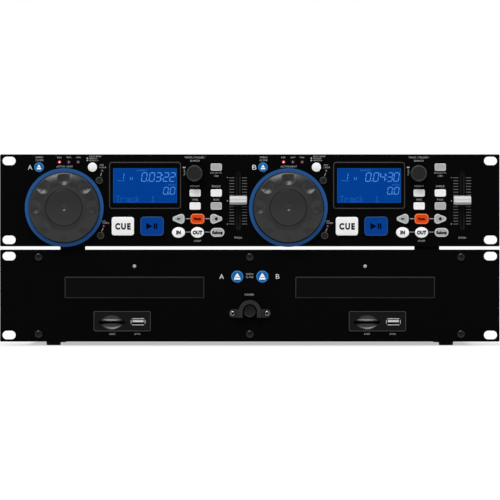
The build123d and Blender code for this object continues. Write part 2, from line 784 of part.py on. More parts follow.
def track_knob(x, z):
    """Tapered knob and its shaft, which ends on the plunger."""
    top = -TRACK_KNOB_BACK - TRACK_KNOB_L
    grip = -TRACK_KNOB_BACK - TRACK_SHAFT_GRIP
    bore = TRACK_SHAFT_D / 2 + RUN
    knob = turned([
        (bore, -TRACK_KNOB_BACK), (TRACK_KNOB_D / 2, -TRACK_KNOB_BACK),
        (TRACK_KNOB_TOP_D / 2, top + KEY_BEVEL), (TRACK_KNOB_TOP_D / 2 - KEY_BEVEL, top),
        (0, top), (0, grip), (bore, grip)], x, z)
    shaft = slab(Circle(TRACK_SHAFT_D / 2), x, z, grip, PLUNGER_Y)
    return [knob, shaft]


def encoder_body(x, z):
    """Body of the rotary encoder on the board, with its bush through the panel."""
    near = BOARD_Y - TRACK_BODY_T
    shaft = TRACK_SHAFT_D / 2 + RUN
    chamber = PLUNGER_D / 2 + SEAT
    body = slab(Rectangle(TRACK_BODY_W, TRACK_BODY_W), x, z, near, BOARD_Y)
    body += slab(Circle(TRACK_BUSH_D / 2), x, z, -TRACK_BUSH_PROUD, near)
    body -= slab(Circle(shaft), x, z, -TRACK_BUSH_PROUD, SWITCH_Y)
    floor = PLUNGER_Y + PLUNGER_T + TRACK_PUSH + SEAT
    return body - slab(Circle(chamber), x, z, SWITCH_Y, floor)


def pitch_fader(x):
    """Ribbed cap across the slot, on its lever."""
    side = [(high * CAP_H / 2, CAP_BACK + out * CAP_L) for high, out in CAP_PROFILE]
    outline = side + [(-high, out) for high, out in reversed(side)]
    across = Plane(origin=(x - CAP_W / 2, 0, CONTROL_Z), x_dir=(0, 0, 1), z_dir=(1, 0, 0))
    cap = extrude(across * Polygon(*outline, align=None), CAP_W)
    lever = slab(Rectangle(LEVER_W, LEVER_H), x, CONTROL_Z, -CAP_BACK, lever_end())
    return cap + lever


def lever_end():
    return BOARD_Y - SHEET_T - SEAT


def fader_body(x):
    """Fader on the board, with the slot that its lever runs in."""
    body = slab(Rectangle(FADER_BODY_W, FADER_BODY_H), x, CONTROL_Z, BOARD_Y - FADER_BODY_T, BOARD_Y)
    slot = Rectangle(LEVER_W + 2 * RAIL_FIT, FADER_TRAVEL + LEVER_H + 2 * SEAT)
    return body - slab(slot, x, CONTROL_Z, BOARD_Y - FADER_BODY_T, lever_end() + SEAT)


# ---------------------------------------------------------------- boards
def control_board():
    """Board behind the control panel with every switch, encoder and fader on it."""
    hole = Circle(SPINDLE_HUB_D / 2 + SEAT)
    outline = Rectangle(BOARD_W, BOARD_H) - [Pos(x, JOG_Z) * hole for x in DECKS.values()]
    pieces = [slab(outline, 0, CONTROL_Z, BOARD_Y, BOARD_Y + BOARD_T)]
    for x in DECKS.values():
        pieces += [switch(x + key.x, CONTROL_Z + key.z) for key in DECK_KEYS]
        pieces.append(encoder_body(x + KNOB_X, CONTROL_Z + TRACK_Z))
        pieces.append(fader_body(x + FADER_X))
    return pieces


def player_boards():
    """Key board, main board, supply board with its transformer, and the two port boards."""
    outline = Rectangle(KEYBOARD_W, KEYBOARD_H)
    pieces = [slab(outline, 0, PLAYER_Z + KEYBOARD_Z, BOARD_Y, BOARD_Y + BOARD_T)]
    pieces += [switch(key.x, PLAYER_Z + key.z) for key in (*TRAY_KEYS, POWER_KEY)]
    low = PLAYER_Z + MAIN_BOARD_Z
    pieces.append(block(MAIN_BOARD_W, MAIN_BOARD_D, BOARD_T, 0, MAIN_BOARD_Y, low))
    pieces.append(block(SUPPLY_BOARD_W, SUPPLY_BOARD_D, BOARD_T, 0, SUPPLY_BOARD_Y, low))
    core_y, core_z = SUPPLY_BOARD_Y + COIL_D / 2 + POST_D, low + BOARD_T
    core = block(CORE_W, CORE_D, CORE_H, 0, core_y - CORE_D / 2, core_z)
    coil_z = core_z + (CORE_H - COIL_H) / 2
    coil = block(COIL_W, COIL_D, COIL_H, 0, core_y - COIL_D / 2, coil_z)
    pieces += [core - coil, coil]
    for side in SIDES.values():
        near = PANEL_T + SHEET_T
        pieces.append(block(PORT_BOARD_W, PORT_BOARD_D, BOARD_T, side * PORT_X, near, port_board_z()))
    return pieces


# ---------------------------------------------------------------- player front fittings
def lens(width, height):
    """Outline of two arcs that meet in a point at each end."""
    ends = (-width / 2, 0), (width / 2, 0)
    return make_face([ThreePointArc(ends[0], (0, height / 2), ends[1]),
                      ThreePointArc(ends[1], (0, -height / 2), ends[0])])


def port_plate(x):
    """Plate with a raised rim, a finger dip round the card slot, and the data socket's hole."""
    z = PLAYER_Z + PORT_Z
    plate = slab(port_outline(0), x, z, -PORT_PROUD, 0)
    plate -= slab(port_outline(-PORT_RIM), x, z, -PORT_PROUD, PORT_DISH - PORT_PROUD)
    plate += slab(port_outline(-PORT_RIM), x, z, 0, PANEL_T)
    plate -= slab(lens(CARD_W, CARD_H), x + CARD_X, z + CARD_Z, -PORT_PROUD, CARD_DIP - PORT_PROUD)
    plate -= slab(Rectangle(CARD_SLOT_W, CARD_SLOT_H), x + CARD_X, z + CARD_Z, -PORT_PROUD, PANEL_T)
    return plate - slab(Rectangle(USB_W, USB_H), x + USB_X, z, -PORT_PROUD, PANEL_T)


def power_guard():
    """Arch over the power button, with an ear for a screw at each side."""
    ears = Rectangle(2 * GUARD_EAR_X, GUARD_EAR_H)
    ears = Pos(0, guard_screw_z()) * fillet(ears.vertices(), GUARD_EAR_CORNER)
    arch_low = POWER_Z - GUARD_BOTTOM
    leg = Pos(0, GUARD_BOTTOM + arch_low / 2)
    arch = Pos(0, POWER_Z) * Circle(GUARD_R) - Pos(0, POWER_Z - GUARD_R) * Rectangle(2 * GUARD_R, 2 * GUARD_R)
    arch += leg * Rectangle(2 * GUARD_R, arch_low)
    bore = Pos(0, POWER_Z) * Circle(GUARD_BORE_R) + leg * Rectangle(2 * GUARD_BORE_R, arch_low)
    holes = [Pos(side * GUARD_SCREW_X, guard_screw_z()) * screw_hole() for side in SIDES.values()]
    plate = slab(ears - bore - holes, 0, PLAYER_Z, -GUARD_EAR_T, 0)
    hood = slab(arch - bore, 0, PLAYER_Z, -GUARD_PROUD, 0)
    return plate + hood


def screw(head_d, head_t, length):
    """Screw along the depth axis, its head seated at depth 0."""
    return slab(small_disc(head_d), 0, 0, -head_t, 0) + slab(small_disc(SCREW_D), 0, 0, 0, length)


def screws():
    """Panel screws, guard screws, cover screws and the control housing's screws."""
    panel = screw(SCREW_HEAD_D, SCREW_HEAD_T, SCREW_L)
    small = screw(GUARD_SCREW_HEAD_D, SCREW_HEAD_T, SCREW_L)
    pieces = [Pos(x, 0, PLAYER_Z + z) * panel for x, z in panel_screw_places()]
    for side in SIDES.values():
        place = Pos(side * GUARD_SCREW_X, -GUARD_EAR_T, PLAYER_Z + guard_screw_z())
        pieces.append(place * small)
    top = CONTROL_BASE + CONTROL_H
    pieces += [Pos(x, y, top) * Rot(-90, 0, 0) * small for x, y in control_screw_places()]
    return pieces


# ---------------------------------------------------------------- disc trays and drives
def disc_tray(x):
    """Door, and behind it the tray with its stepped disc well, rails and pickup slot."""
    z = PLAYER_Z + TRAY_BOTTOM
    door = slab(Rectangle(DOOR_W, DOOR_H), x, PLAYER_Z + TRAY_Z, -DOOR_PROUD, DOOR_Y)
    door = chamfer(front_edges(door), DOOR_BEVEL)
    length = TRAY_TRAVEL + TRAY_GRIP
    tray = block(TRAY_BODY_W, length, TRAY_BODY_T, x, DOOR_Y, z)
    tray += block(TRAY_RAIL_W, length, TRAY_RAIL_T, x, DOOR_Y, z)
    top, centre = z + TRAY_BODY_T, DOOR_Y + DISC_Y
    tray -= Pos(x, centre, top - WELL_DEPTH) * extrude(Circle(WELL_D / 2), WELL_DEPTH)
    depth = WELL_DEPTH + SMALL_WELL_DEPTH
    tray -= Pos(x, centre, top - depth) * extrude(Circle(SMALL_WELL_D / 2), depth)
    middle = centre - SLED_SLOT_W / 2 + SLED_SLOT_L / 2
    slot = SlotOverall(SLED_SLOT_L, SLED_SLOT_W, rotation=90)
    tray -= Pos(x, middle, z) * extrude(slot, TRAY_BODY_T)
    return [door, tray]


def disc_drive(x):
    """Moulded drive frame with rails, clamp bridge, and the disc motor and pickup below."""
    near = DRIVE_Y
    base = PLAYER_Z + DRIVE_BASE
    rail_z = PLAYER_Z + TRAY_BOTTOM
    inner = TRAY_RAIL_W / 2 + RAIL_FIT
    outer = inner + DRIVE_WALL
    centre = DOOR_Y + DISC_Y
    height = DRIVE_TOP - DRIVE_BASE
    frame = block(2 * outer, DRIVE_D, DRIVE_BASE_T, x, near, base)
    ledge_in = TRAY_BODY_W / 2 - RAIL_FIT
    lip_in = TRAY_BODY_W / 2 + RAIL_FIT
    for side in (-1, 1):
        wall_x = x + side * (inner + DRIVE_WALL / 2)
        frame += block(DRIVE_WALL, DRIVE_D, height, wall_x, near, base)
        ledge_x = x + side * (ledge_in + inner) / 2
        frame += block(inner - ledge_in, DRIVE_D, DRIVE_BASE_T, ledge_x, near, rail_z - SEAT - DRIVE_BASE_T)
        lip_x = x + side * (lip_in + inner) / 2
        frame += block(inner - lip_in, DRIVE_D, DRIVE_BASE_T, lip_x, near, rail_z + TRAY_RAIL_T + SEAT)
        for y in (near + DRIVE_LEG_D, near + DRIVE_D - DRIVE_LEG_D):
            leg = RegularPolygon(DRIVE_LEG_D / 2, 6)
            frame += Pos(x + side * (outer - DRIVE_LEG_D), y, FLOOR_Z) * extrude(leg, base - FLOOR_Z)
    well_near = centre - DRIVE_WELL_NEAR
    frame -= block(DRIVE_WELL_W, DRIVE_WELL_L, DRIVE_BASE_T, x, well_near, base)
    bridge_top = PLAYER_Z + DRIVE_TOP
    bridge = block(2 * outer, BRIDGE_L, SHEET_T, x, centre - BRIDGE_L / 2, bridge_top)
    clamp = Pos(x, centre, bridge_top - CLAMP_T) * extrude(small_disc(CLAMP_D), CLAMP_T)
    return [frame, bridge, clamp, *pickup(x, centre, well_near, base + DRIVE_BASE_T)]


def pickup(x, centre, near, floor):
    """Traverse plate on the drive's base, with the disc motor, its table, rods and sled."""
    width, length = DRIVE_WELL_W + 2 * TRAVERSE_LAP, DRIVE_WELL_L + 2 * TRAVERSE_LAP
    plate = block(width, length, TRAVERSE_T, x, near - TRAVERSE_LAP, floor)
    face = floor + TRAVERSE_T
    table = face + MOTOR_T
    motor = Pos(x, centre, face) * extrude(small_disc(MOTOR_D), MOTOR_T)
    disc_table = Pos(x, centre, table) * extrude(small_disc(TABLE_D), TABLE_T)
    disc_table += Pos(x, centre, table) * extrude(small_disc(TABLE_HUB_D), TABLE_T + TABLE_HUB_T)
    rod_near = centre + MOTOR_D / 2 + SEAT
    rod_z = face + ROD_Z
    pieces = [plate, motor, disc_table]
    sled_low = face + SEAT
    sled = block(SLED_W, SLED_L, SLED_T, x, rod_near + SLED_Y, sled_low)
    lens_z = sled_low + SLED_T
    sled_y = rod_near + SLED_Y + SLED_L / 2
    for side in (-1, 1):
        rod = Pos(x + side * ROD_X, rod_near + ROD_L, rod_z) * Rot(90, 0, 0)
        sled -= rod * extrude(small_disc(ROD_D + 2 * RUN), ROD_L)
        pieces.append(rod * extrude(small_disc(ROD_D), ROD_L))
    lens_barrel = Pos(x, sled_y, lens_z) * extrude(small_disc(LENS_D), LENS_T)
    return pieces + [sled, lens_barrel]


# ---------------------------------------------------------------- sockets
def usb_socket(x):
    """Metal shell in the port plate with its contact tongue."""
    z = PLAYER_Z + PORT_Z
    outer = Rectangle(USB_W, USB_H)
    hollow = Rectangle(USB_W - 2 * USB_WALL, USB_H - 2 * USB_WALL)
    near, far = -PORT_DISH, -PORT_DISH + USB_D
    shell = slab(outer, x, z, near, far) - slab(hollow, x, z, near, far - USB_WALL)
    tongue = Rectangle(USB_W - 4 * USB_WALL, USB_TONGUE_H)
    return shell + slab(tongue, x, z + USB_TONGUE_H / 2, near + USB_WALL, far)


def card_reader(x):
    """Card reader behind the port plate, on the port board."""
    z = PLAYER_Z + PORT_Z + CARD_Z
    low = port_board_z() + BOARD_T
    width, height = CARD_SLOT_W + 2 * CARD_READER_WALL, z + CARD_SLOT_H / 2 + CARD_READER_WALL - low
    body = block(width, CARD_READER_D, height, x, PANEL_T, low)
    return body - slab(Rectangle(CARD_SLOT_W, CARD_SLOT_H), x, z, PANEL_T,
                       PANEL_T + CARD_READER_D - CARD_READER_WALL)


def jack(x, z):
    """Phono socket through the rear wall, with the block that holds it inside."""
    back = PLAYER_BACK - SHEET_T
    width = JACK_PITCH - JACK_BLOCK_GAP
    body = slab(Rectangle(width, width), x, z, back - JACK_BLOCK_D, back)
    body += slab(small_disc(JACK_D), x, z, back, PLAYER_BACK + JACK_L)
    return body - slab(small_disc(JACK_BORE), x, z, PLAYER_BACK, PLAYER_BACK + JACK_L)


def link_socket(x, z, back):
    """Round socket for the lead between the two units, flush in a rear wall."""
    body = slab(Rectangle(LINK_W, LINK_W), x, z, back - LINK_D, back)
    return body - slab(small_disc(LINK_BORE), x, z, back - LINK_SINK, back)


def mains_inlet(z):
    """Three-pin mains inlet in the middle of the rear wall."""
    back = PLAYER_BACK
    body = slab(Rectangle(INLET_W, INLET_H), 0, z, back - INLET_D, back)
    body += slab(Rectangle(INLET_FLANGE_W, INLET_FLANGE_H), 0, z, back, back + INLET_PROUD)
    hollow = Rectangle(INLET_W - 2 * INLET_WALL, INLET_H - 2 * INLET_WALL)
    floor, mouth = back - INLET_D + INLET_WALL, back + INLET_PROUD
    body -= slab(hollow, 0, z, floor, mouth)
    for x, height in ((-PIN_X, -PIN_Z), (0, PIN_Z), (PIN_X, -PIN_Z)):
        body += slab(Rectangle(PIN_T, PIN_W), x, z + height, floor, mouth - PIN_SINK)
    return body


def sockets():
    """Front card readers and data sockets, and everything in the two rear walls."""
    pieces = [mains_inlet(PLAYER_Z)]
    for side in SIDES.values():
        pieces.append(usb_socket(side * PORT_X + USB_X))
        pieces.append(card_reader(side * PORT_X + CARD_X))
        pieces += [jack(x, z) for x, z in jack_places(side)]
        pieces.append(link_socket(side * LINK_X, link_z(), PLAYER_BACK))
        pieces.append(link_socket(side * LINK_X, CONTROL_Z, CONTROL_BACK))
    return pieces


# ---------------------------------------------------------------- the whole object
save("control_front_panel", control_front_panel())
save("control_housing", control_housing())
save("displays", *displays())
save("light_guides", *light_guides())
save("circuit_boards", *control_board(), *player_boards())
save("player_front_panel", player_front_panel())
save("player_chassis", player_chassis())
save("player_cover", player_cover())
save("rubber_feet", *rubber_feet())
save("front_fittings", power_guard(), *[port_plate(side * PORT_X) for side in SIDES.values()])
save("screws", *screws())
save("sockets", *sockets())
save("disc_drives", *[piece for side in SIDES.values() for piece in disc_drive(side * TRAY_X)])

for deck, deck_x in DECKS.items():
    save(f"jog_wheel_{deck}", *jog_wheel(deck_x, CONTROL_Z + JOG_Z))
    save(f"track_plunger_{deck}", track_plunger(deck_x + KNOB_X, CONTROL_Z + TRACK_Z))
    save(f"track_knob_{deck}", *track_knob(deck_x + KNOB_X, CONTROL_Z + TRACK_Z))
    save(f"pitch_fader_{deck}", pitch_fader(deck_x + FADER_X))
    for key in DECK_KEYS:
        save(f"{key.name}_{deck}", key_solid(key, deck_x + key.x, CONTROL_Z + key.z))
    save(f"disc_tray_{deck}", *disc_tray(SIDES[deck] * TRAY_X))

for key in (*TRAY_KEYS, POWER_KEY):
    save(key.name, key_solid(key, key.x, PLAYER_Z + key.z))
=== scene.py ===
"""Looks of the twin disc player: finishes, key caps, dials, screens, screws and printed marks.

Every size below is in millimetres and is turned into metres where a mesh is made. Places on
the front are (x, z, out), where "out" is the distance that a point stands out of the front
panels' face towards the user. Places on the back are counted in the same way from the wall
that they are on, as they are seen from behind.
"""

from math import atan2, cos, hypot, pi, radians, sin, sqrt, tau

import bmesh
import bpy
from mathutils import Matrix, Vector


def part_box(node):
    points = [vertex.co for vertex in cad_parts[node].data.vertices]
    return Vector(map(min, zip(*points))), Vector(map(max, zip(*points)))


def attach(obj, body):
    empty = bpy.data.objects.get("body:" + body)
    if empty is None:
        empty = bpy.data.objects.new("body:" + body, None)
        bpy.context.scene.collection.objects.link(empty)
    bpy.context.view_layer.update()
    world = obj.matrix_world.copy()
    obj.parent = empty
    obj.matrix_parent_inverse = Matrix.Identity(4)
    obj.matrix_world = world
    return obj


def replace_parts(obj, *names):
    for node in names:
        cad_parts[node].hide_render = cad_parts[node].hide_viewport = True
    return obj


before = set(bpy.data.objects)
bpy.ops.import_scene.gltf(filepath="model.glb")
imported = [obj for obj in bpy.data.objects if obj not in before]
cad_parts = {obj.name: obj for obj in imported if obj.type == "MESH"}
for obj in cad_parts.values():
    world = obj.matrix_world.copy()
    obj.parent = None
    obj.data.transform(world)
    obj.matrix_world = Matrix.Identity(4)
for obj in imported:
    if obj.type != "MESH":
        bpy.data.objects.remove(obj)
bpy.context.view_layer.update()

MM = 0.001


# ---- places, from the solid model
def middle(node):
    """Middle of a node's box along X and Z, in millimetres."""
    low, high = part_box(node)
    return (low.x + high.x) / 2 / MM, (low.z + high.z) / 2 / MM


FACE_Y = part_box("control_front_panel")[0].y
CONTROL_Z = middle("control_front_panel")[1]
PLAYER_Z = middle("player_front_panel")[1]
CONTROL_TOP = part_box("control_housing")[1].z / MM
PLAYER_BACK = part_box("player_chassis")[1].y / MM
CONTROL_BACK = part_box("control_housing")[1].y / MM
DECK_X = {deck: middle(f"jog_wheel_{deck}")[0] for deck in "ab"}
COLLAR_LIP = 0.9  # of a key's collar beyond its cap, behind the panel
PANEL_T = 3.0
SWITCH_FRONT = 9.7  # from the panels' face back to the switches on their board


def spot(x, z, out):
    """Place on the front, in metres."""
    return Vector((x * MM, FACE_Y - out * MM, z * MM))


def on_back(wall):
    """Places on a rear wall, with x to the right of someone who looks at it."""
    return lambda x, z, out: Vector((-x * MM, (wall + out) * MM, z * MM))


def on_top(level):
    """Places on a level face, with the second number counted back from the panels' face."""
    return lambda x, y, out: Vector((x * MM, FACE_Y + y * MM, (level + out) * MM))


# ---- finishes
WAVE_FACTOR = 20.0  # radians that the wave pattern turns through in one unit at a scale of 1
CLOUD_SCALE = 45.0  # drifts of colour in a metre
TURNED_DEEP = 0.012  # height of the turned rings on a dial's centre


def srgb(*levels):
    """Linear colour for one that is read as 0 to 255 on a screen."""
    shares = [level / 255 for level in levels]
    return tuple(s / 12.92 if s <= 0.04045 else ((s + 0.055) / 1.055) ** 2.4 for s in shares) + (1.0,)


def put(thing, **values):
    """Give a thing some of its properties."""
    for name, value in values.items():
        setattr(thing, name, value)
    return thing


def shading(tree, kind, output, inputs=(), **settings):
    """One output of a new shader node; its inputs are numbers, colours or outputs of others."""
    node = put(tree.nodes.new(f"ShaderNode{kind}"), **settings)
    for socket, value in dict(inputs).items():
        if isinstance(value, bpy.types.NodeSocket):
            tree.links.new(value, node.inputs[socket])
        else:
            node.inputs[socket].default_value = value
    return node.outputs[output]


def maths(tree, operation, *values):
    return shading(tree, "Math", "Value", dict(enumerate(values)), operation=operation)


def cloudy(tree, place, colour, vary):
    """Colour that drifts a little from place to place."""
    cloud = shading(tree, "TexNoise", "Fac", {"Scale": CLOUD_SCALE, "Detail": 4.0, "Vector": place})
    low, high = ([min(1.0, c * (1 + drift)) for c in colour[:3]] + [1.0] for drift in (-vary, vary))
    return shading(tree, "Mix", "Result", {"Factor": cloud, "A": low, "B": high}, data_type="RGBA")


def finish(name, colour, rough, grain=0.5, bump=0.01, vary=0.12, rough_vary=0.08, other=None, **direct):
    """Plastic, paint or metal with cloudy colour, fine grain and uneven gloss.

    grain is the size of the surface's texture and bump its height, both in millimetres. other is
    a second colour, the axis to look along and the place on it, in metres, past which it is."""
    material = bpy.data.materials.new(name)
    material.use_nodes = True
    tree = material.node_tree
    place = shading(tree, "TexCoord", "Object")
    base = cloudy(tree, place, colour, vary)
    if other:
        second, axis, limit = other
        reach = shading(tree, "SeparateXYZ", axis, {"Vector": place})
        if axis == "X":
            reach = maths(tree, "ABSOLUTE", reach)
        past = maths(tree, "GREATER_THAN", reach, limit)
        mixed = {"Factor": past, "A": base, "B": cloudy(tree, place, second, vary)}
        base = shading(tree, "Mix", "Result", mixed, data_type="RGBA")
    fine = shading(tree, "TexNoise", "Fac", {"Scale": 1.0 / (grain * MM), "Detail": 2.0, "Vector": place})
    gloss = shading(tree, "MapRange", "Result", {
        "Value": fine, "To Min": max(0.02, rough - rough_vary), "To Max": min(1.0, rough + rough_vary)})
    relief = shading(tree, "Bump", "Normal", {"Distance": bump * MM, "Height": fine})

    sockets = tree.nodes["Principled BSDF"].inputs
    for socket, output in (("Base Color", base), ("Roughness", gloss), ("Normal", relief)):
        tree.links.new(output, sockets[socket])
    for socket, value in direct.items():
        sockets[socket.replace("_", " ")].default_value = value
    return material


def plastic(name, red, green, blue, gloss=0.1, rough=0.45, **looks):
    """Moulded plastic or paint; gloss is how strongly it mirrors."""
    return finish(name, srgb(red, green, blue), rough, Specular_IOR_Level=gloss, **looks)


def grey(name, level, *looks, **more):
    return plastic(name, level, level, level, *looks, **more)


def glowing(name, red, green, blue, strength, gloss=0.1):
    """Translucent plastic lit from behind."""
    return plastic(name, red, green, blue, gloss, 0.35, vary=0.06, bump=0.004,
                   Emission_Color=srgb(red, green, blue), Emission_Strength=strength)


def metal(name, level, rough=0.28):
    """Plated metal."""
    return finish(name, srgb(level, level, level), rough, grain=0.3, bump=0.003, Metallic=1.0)


def turned_plate(name, x, z, pitch):
    """Plastic with fine turned rings round an axis, given in millimetres."""
    material = grey(name, 26, 0.38, 0.32, bump=0.003, rough_vary=0.03)
    tree = material.node_tree
    normal = tree.nodes["Principled BSDF"].inputs["Normal"]
    place = shading(tree, "Mapping", "Vector", {
        "Location": (-x * MM, 0, -z * MM), "Vector": shading(tree, "TexCoord", "Object")})
    rings = shading(tree, "TexWave", "Fac", {"Scale": tau / (WAVE_FACTOR * pitch * MM), "Vector": place},
                    wave_type="RINGS", rings_direction="Y")
    relief = shading(tree, "Bump", "Normal", {
        "Distance": TURNED_DEEP * MM, "Height": rings, "Normal": normal.links[0].from_socket})
    tree.links.new(relief, normal)
    return material


PANEL = plastic("panel_paint", 4, 4, 5, 0.02, 0.55, grain=0.35, bump=0.012)
SHEET = plastic("sheet_paint", 16, 16, 17, 0.25, 0.6, grain=0.45, bump=0.02)
DIAL = grey("dial_plastic", 11, 0.5, 0.36, grain=0.6, bump=0.003, rough_vary=0.03)
RING = glowing("ring_light", 31, 70, 119, 0.4, 0.05)
BEZEL = plastic("bezel_plastic", 3, 4, 5, 0.02, 0.3, grain=1.2, bump=0.002)
# painted highlight on the chamfer of the displays' bezels
BEZEL_EDGE_HIGHLIGHT = plastic("bezel_edge_highlight", 58, 56, 52)
LCD_BLUE = glowing("lcd_field", 1, 56, 133, 0.2, 0.01)
LCD_EDGE = glowing("lcd_edge", 8, 70, 146, 0.2, 0.01)
LCD_MARK = glowing("lcd_mark", 84, 142, 222, 0.2, 0.01)
LCD_DIM = glowing("lcd_dim_mark", 52, 110, 190, 0.2, 0.01)
LCD_FAINT = glowing("lcd_faint_mark", 24, 86, 172, 0.2, 0.01)
# The key caps' rim and face finishes below are lit and shaded copies of one plastic each: the lighter rims
# are painted highlight, the darker faces painted shade.
WHITE_KEY = plastic("white_key", 243, 243, 242, 0.2, 0.4, vary=0.02, bump=0.003)
WHITE_FACE_SHADE = plastic("white_key_face_shade", 236, 236, 235, 0.2, vary=0.02, bump=0.003)
BLUE_KEY = glowing("blue_key", 1, 58, 134, 0.1, 0.03)
BLUE_EDGE_HIGHLIGHT = glowing("blue_key_edge_highlight", 24, 58, 118, 0.1, 0.2)
EJECT_RIM_HIGHLIGHT = glowing("eject_rim_highlight", 48, 128, 186, 0.1)
EJECT_FACE_SHADE = glowing("eject_face_shade", 8, 88, 156, 0.1)
GREY_RIM_HIGHLIGHT = plastic("grey_key_rim_highlight", 202, 203, 203, 0.2, vary=0.03, bump=0.003)
GREY_FACE_SHADE = plastic("grey_key_face_shade", 166, 167, 168, 0.2, 0.5, vary=0.04, bump=0.003)
ORANGE_RIM_HIGHLIGHT = glowing("orange_rim_highlight", 226, 122, 66, 0.05)
ORANGE_FACE_SHADE = glowing("orange_face_shade", 208, 62, 16, 0.1, 0.05)
DARK_KEY = grey("dark_key", 31, 0.08, 0.4, bump=0.004)
DARK_RIM_HIGHLIGHT = plastic("dark_key_rim_highlight", 66, 65, 63, 0.15, 0.4, bump=0.004)
KNOB = grey("knob_rubber", 31, 0.1, 0.5, bump=0.006)
# painted highlight on the rounded crest of the knob's rim
KNOB_RIM_HIGHLIGHT = plastic("knob_rim_highlight", 56, 56, 55, 0.15, 0.4, bump=0.004)
FADER_CAP = plastic("fader_cap", 205, 205, 204, 0.25, vary=0.03, bump=0.004)
LAMP_LIT = glowing("lamp_lit", 176, 36, 34, 0.15)
LAMP_CORE = glowing("lamp_core", 245, 188, 184, 0.7)
LAMP_DIM = glowing("lamp_dim", 62, 26, 36, 0.1)
LAMP_DIM_CORE = glowing("lamp_dim_core", 156, 108, 118, 0.1)
LAMP_CLEAR = glowing("lamp_clear", 168, 168, 168, 0.05)
PRINT = grey("white_print", 214, 0.1, 0.6, vary=0.04, bump=0.001)
INK = grey("label_print", 172, 0.1, 0.6, vary=0.04, bump=0.001)
DIM_INK = grey("scale_print", 110, 0.1, 0.6, vary=0.04, bump=0.001)
DARK_INK = plastic("dark_print", 8, 8, 10, 0.02, 0.6, vary=0.05, bump=0.001)
NAVY_INK = plastic("navy_print", 2, 6, 34, 0.02, 0.6, vary=0.05, bump=0.001)
RUBBER = grey("rubber", 20, 0.2, 0.85, grain=0.4, bump=0.03)
FITTING = grey("fitting_plastic", 40, bump=0.008, other=(srgb(9, 9, 9), "X", 0.05))
# painted highlight on the raised rims of the port plates
FITTING_EDGE_HIGHLIGHT = grey("fitting_edge_highlight", 66, bump=0.004)
DIP = grey("card_dip", 30, 0.5, 0.34, bump=0.003)
DUST_LIP = grey("dust_lip", 38, 0.05, 0.8, grain=0.4, bump=0.02)
# painted shade inside the sockets of the guard's bright screws
HOLLOW_SHADE = grey("socket_hollow_shade", 5, 0.02, 0.6, bump=0.002)
TRAY = grey("tray_plastic", 8, 0.03, 0.4, grain=0.6, bump=0.006)
# painted highlight on the bevelled edges of the tray doors
TRAY_EDGE_HIGHLIGHT = grey("tray_edge_highlight", 46, 0.1, 0.4, bump=0.004)
SCREW = grey("black_screw", 8, 0.3, 0.22, bump=0.002)
BRIGHT_SCREW = metal("bright_screw", 118, 0.22)
BRIGHT = metal("bright_metal", 205)
TONGUE = plastic("socket_tongue", 206, 206, 204, 0.2, 0.5, vary=0.03, bump=0.002)
SOCKET = grey("socket_block", 18, 0.2, 0.5, bump=0.006)
# Dark close behind the panels' face as painted shade where the board is seen through the slots, green
# laminate further back.
BOARD_WITH_FRONT_SHADE = grey("board_laminate_front_shade", 14, 0.2, grain=2.5, vary=0.3,
                other=(srgb(30, 78, 44), "Y", FACE_Y + 13.9 * MM))
RED_MARK = plastic("red_insulator", 168, 22, 20, 0.4, 0.4)
WHITE_MARK = plastic("white_insulator", 226, 226, 222, 0.4, 0.4)
ORANGE_MARK = plastic("orange_insulator", 210, 96, 18, 0.4, 0.4)

NODE_FINISH = {
    "control_front_panel": PANEL, "player_front_panel": PANEL, "control_housing": SHEET,
    "player_chassis": SHEET, "player_cover": SHEET, "displays": BEZEL, "light_guides": RING,
    "circuit_boards": BOARD_WITH_FRONT_SHADE, "rubber_feet": RUBBER, "front_fittings": FITTING, "sockets": SOCKET,
    "disc_drives": TRAY, "disc_tray": TRAY, "track_plunger": FITTING,
}


def dress(node):
    """Give a node its finish; the nodes that are replaced below get a plain dark one."""
    stem = node[:-2] if node[-2:] in ("_a", "_b") else node
    material = NODE_FINISH.get(stem, DARK_KEY)
    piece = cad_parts[node]
    if not piece.material_slots:
        piece.data.materials.append(material)
    for slot in piece.material_slots:
        slot.material = material


def soften(node, width):
    """Round a node's sharp edges a little."""
    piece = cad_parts[node]
    put(piece.modifiers.new("join", "WELD"), merge_threshold=0.005 * MM)
    put(piece.modifiers.new("edges", "BEVEL"), width=width * MM, segments=2, limit_method="ANGLE",
        angle_limit=radians(40), harden_normals=True)


# ---- outlines
SIDES = 48  # points of an outline or a turned ring
INK_T = 0.03  # how far print stands out


def directions(count):
    return [(cos(tau * step / count), sin(tau * step / count)) for step in range(count)]


def hull(*discs):
    """Outline round one or more discs (x, z, radius), which grow and shrink together."""
    def outline(grow=0.0):
        points = []
        for nx, nz in directions(SIDES):
            x, z, radius = max(discs, key=lambda disc: disc[0] * nx + disc[1] * nz + disc[2])
            points.append((x + (radius + grow) * nx, z + (radius + grow) * nz))
        return points

    return outline


def rounded(width, height, corner):
    dx, dz = width / 2 - corner, height / 2 - corner
    return hull((dx, dz, corner), (-dx, dz, corner), (-dx, -dz, corner), (dx, -dz, corner))


def oval(width, height):
    def outline(grow=0.0):
        points = []
        for nx, nz in directions(SIDES):
            reach = hypot(width / 2 * nx, height / 2 * nz)
            points.append(((width / 2) ** 2 * nx / reach + grow * nx,
                           (height / 2) ** 2 * nz / reach + grow * nz))
        return points

    return outline


def drop(width, height, tip, base, side):
    """Rounded triangle that points to one side."""
    back = side * (base - width / 2)
    return hull((side * (width / 2 - tip), 0, tip), (back, height / 2 - base, base),
                (back, base - height / 2, base))


# ---- mesh building
def in_scene(name, data):
    """New object of the scene."""
    made = bpy.data.objects.new(name, data)
    bpy.context.scene.collection.objects.link(made)
    return made


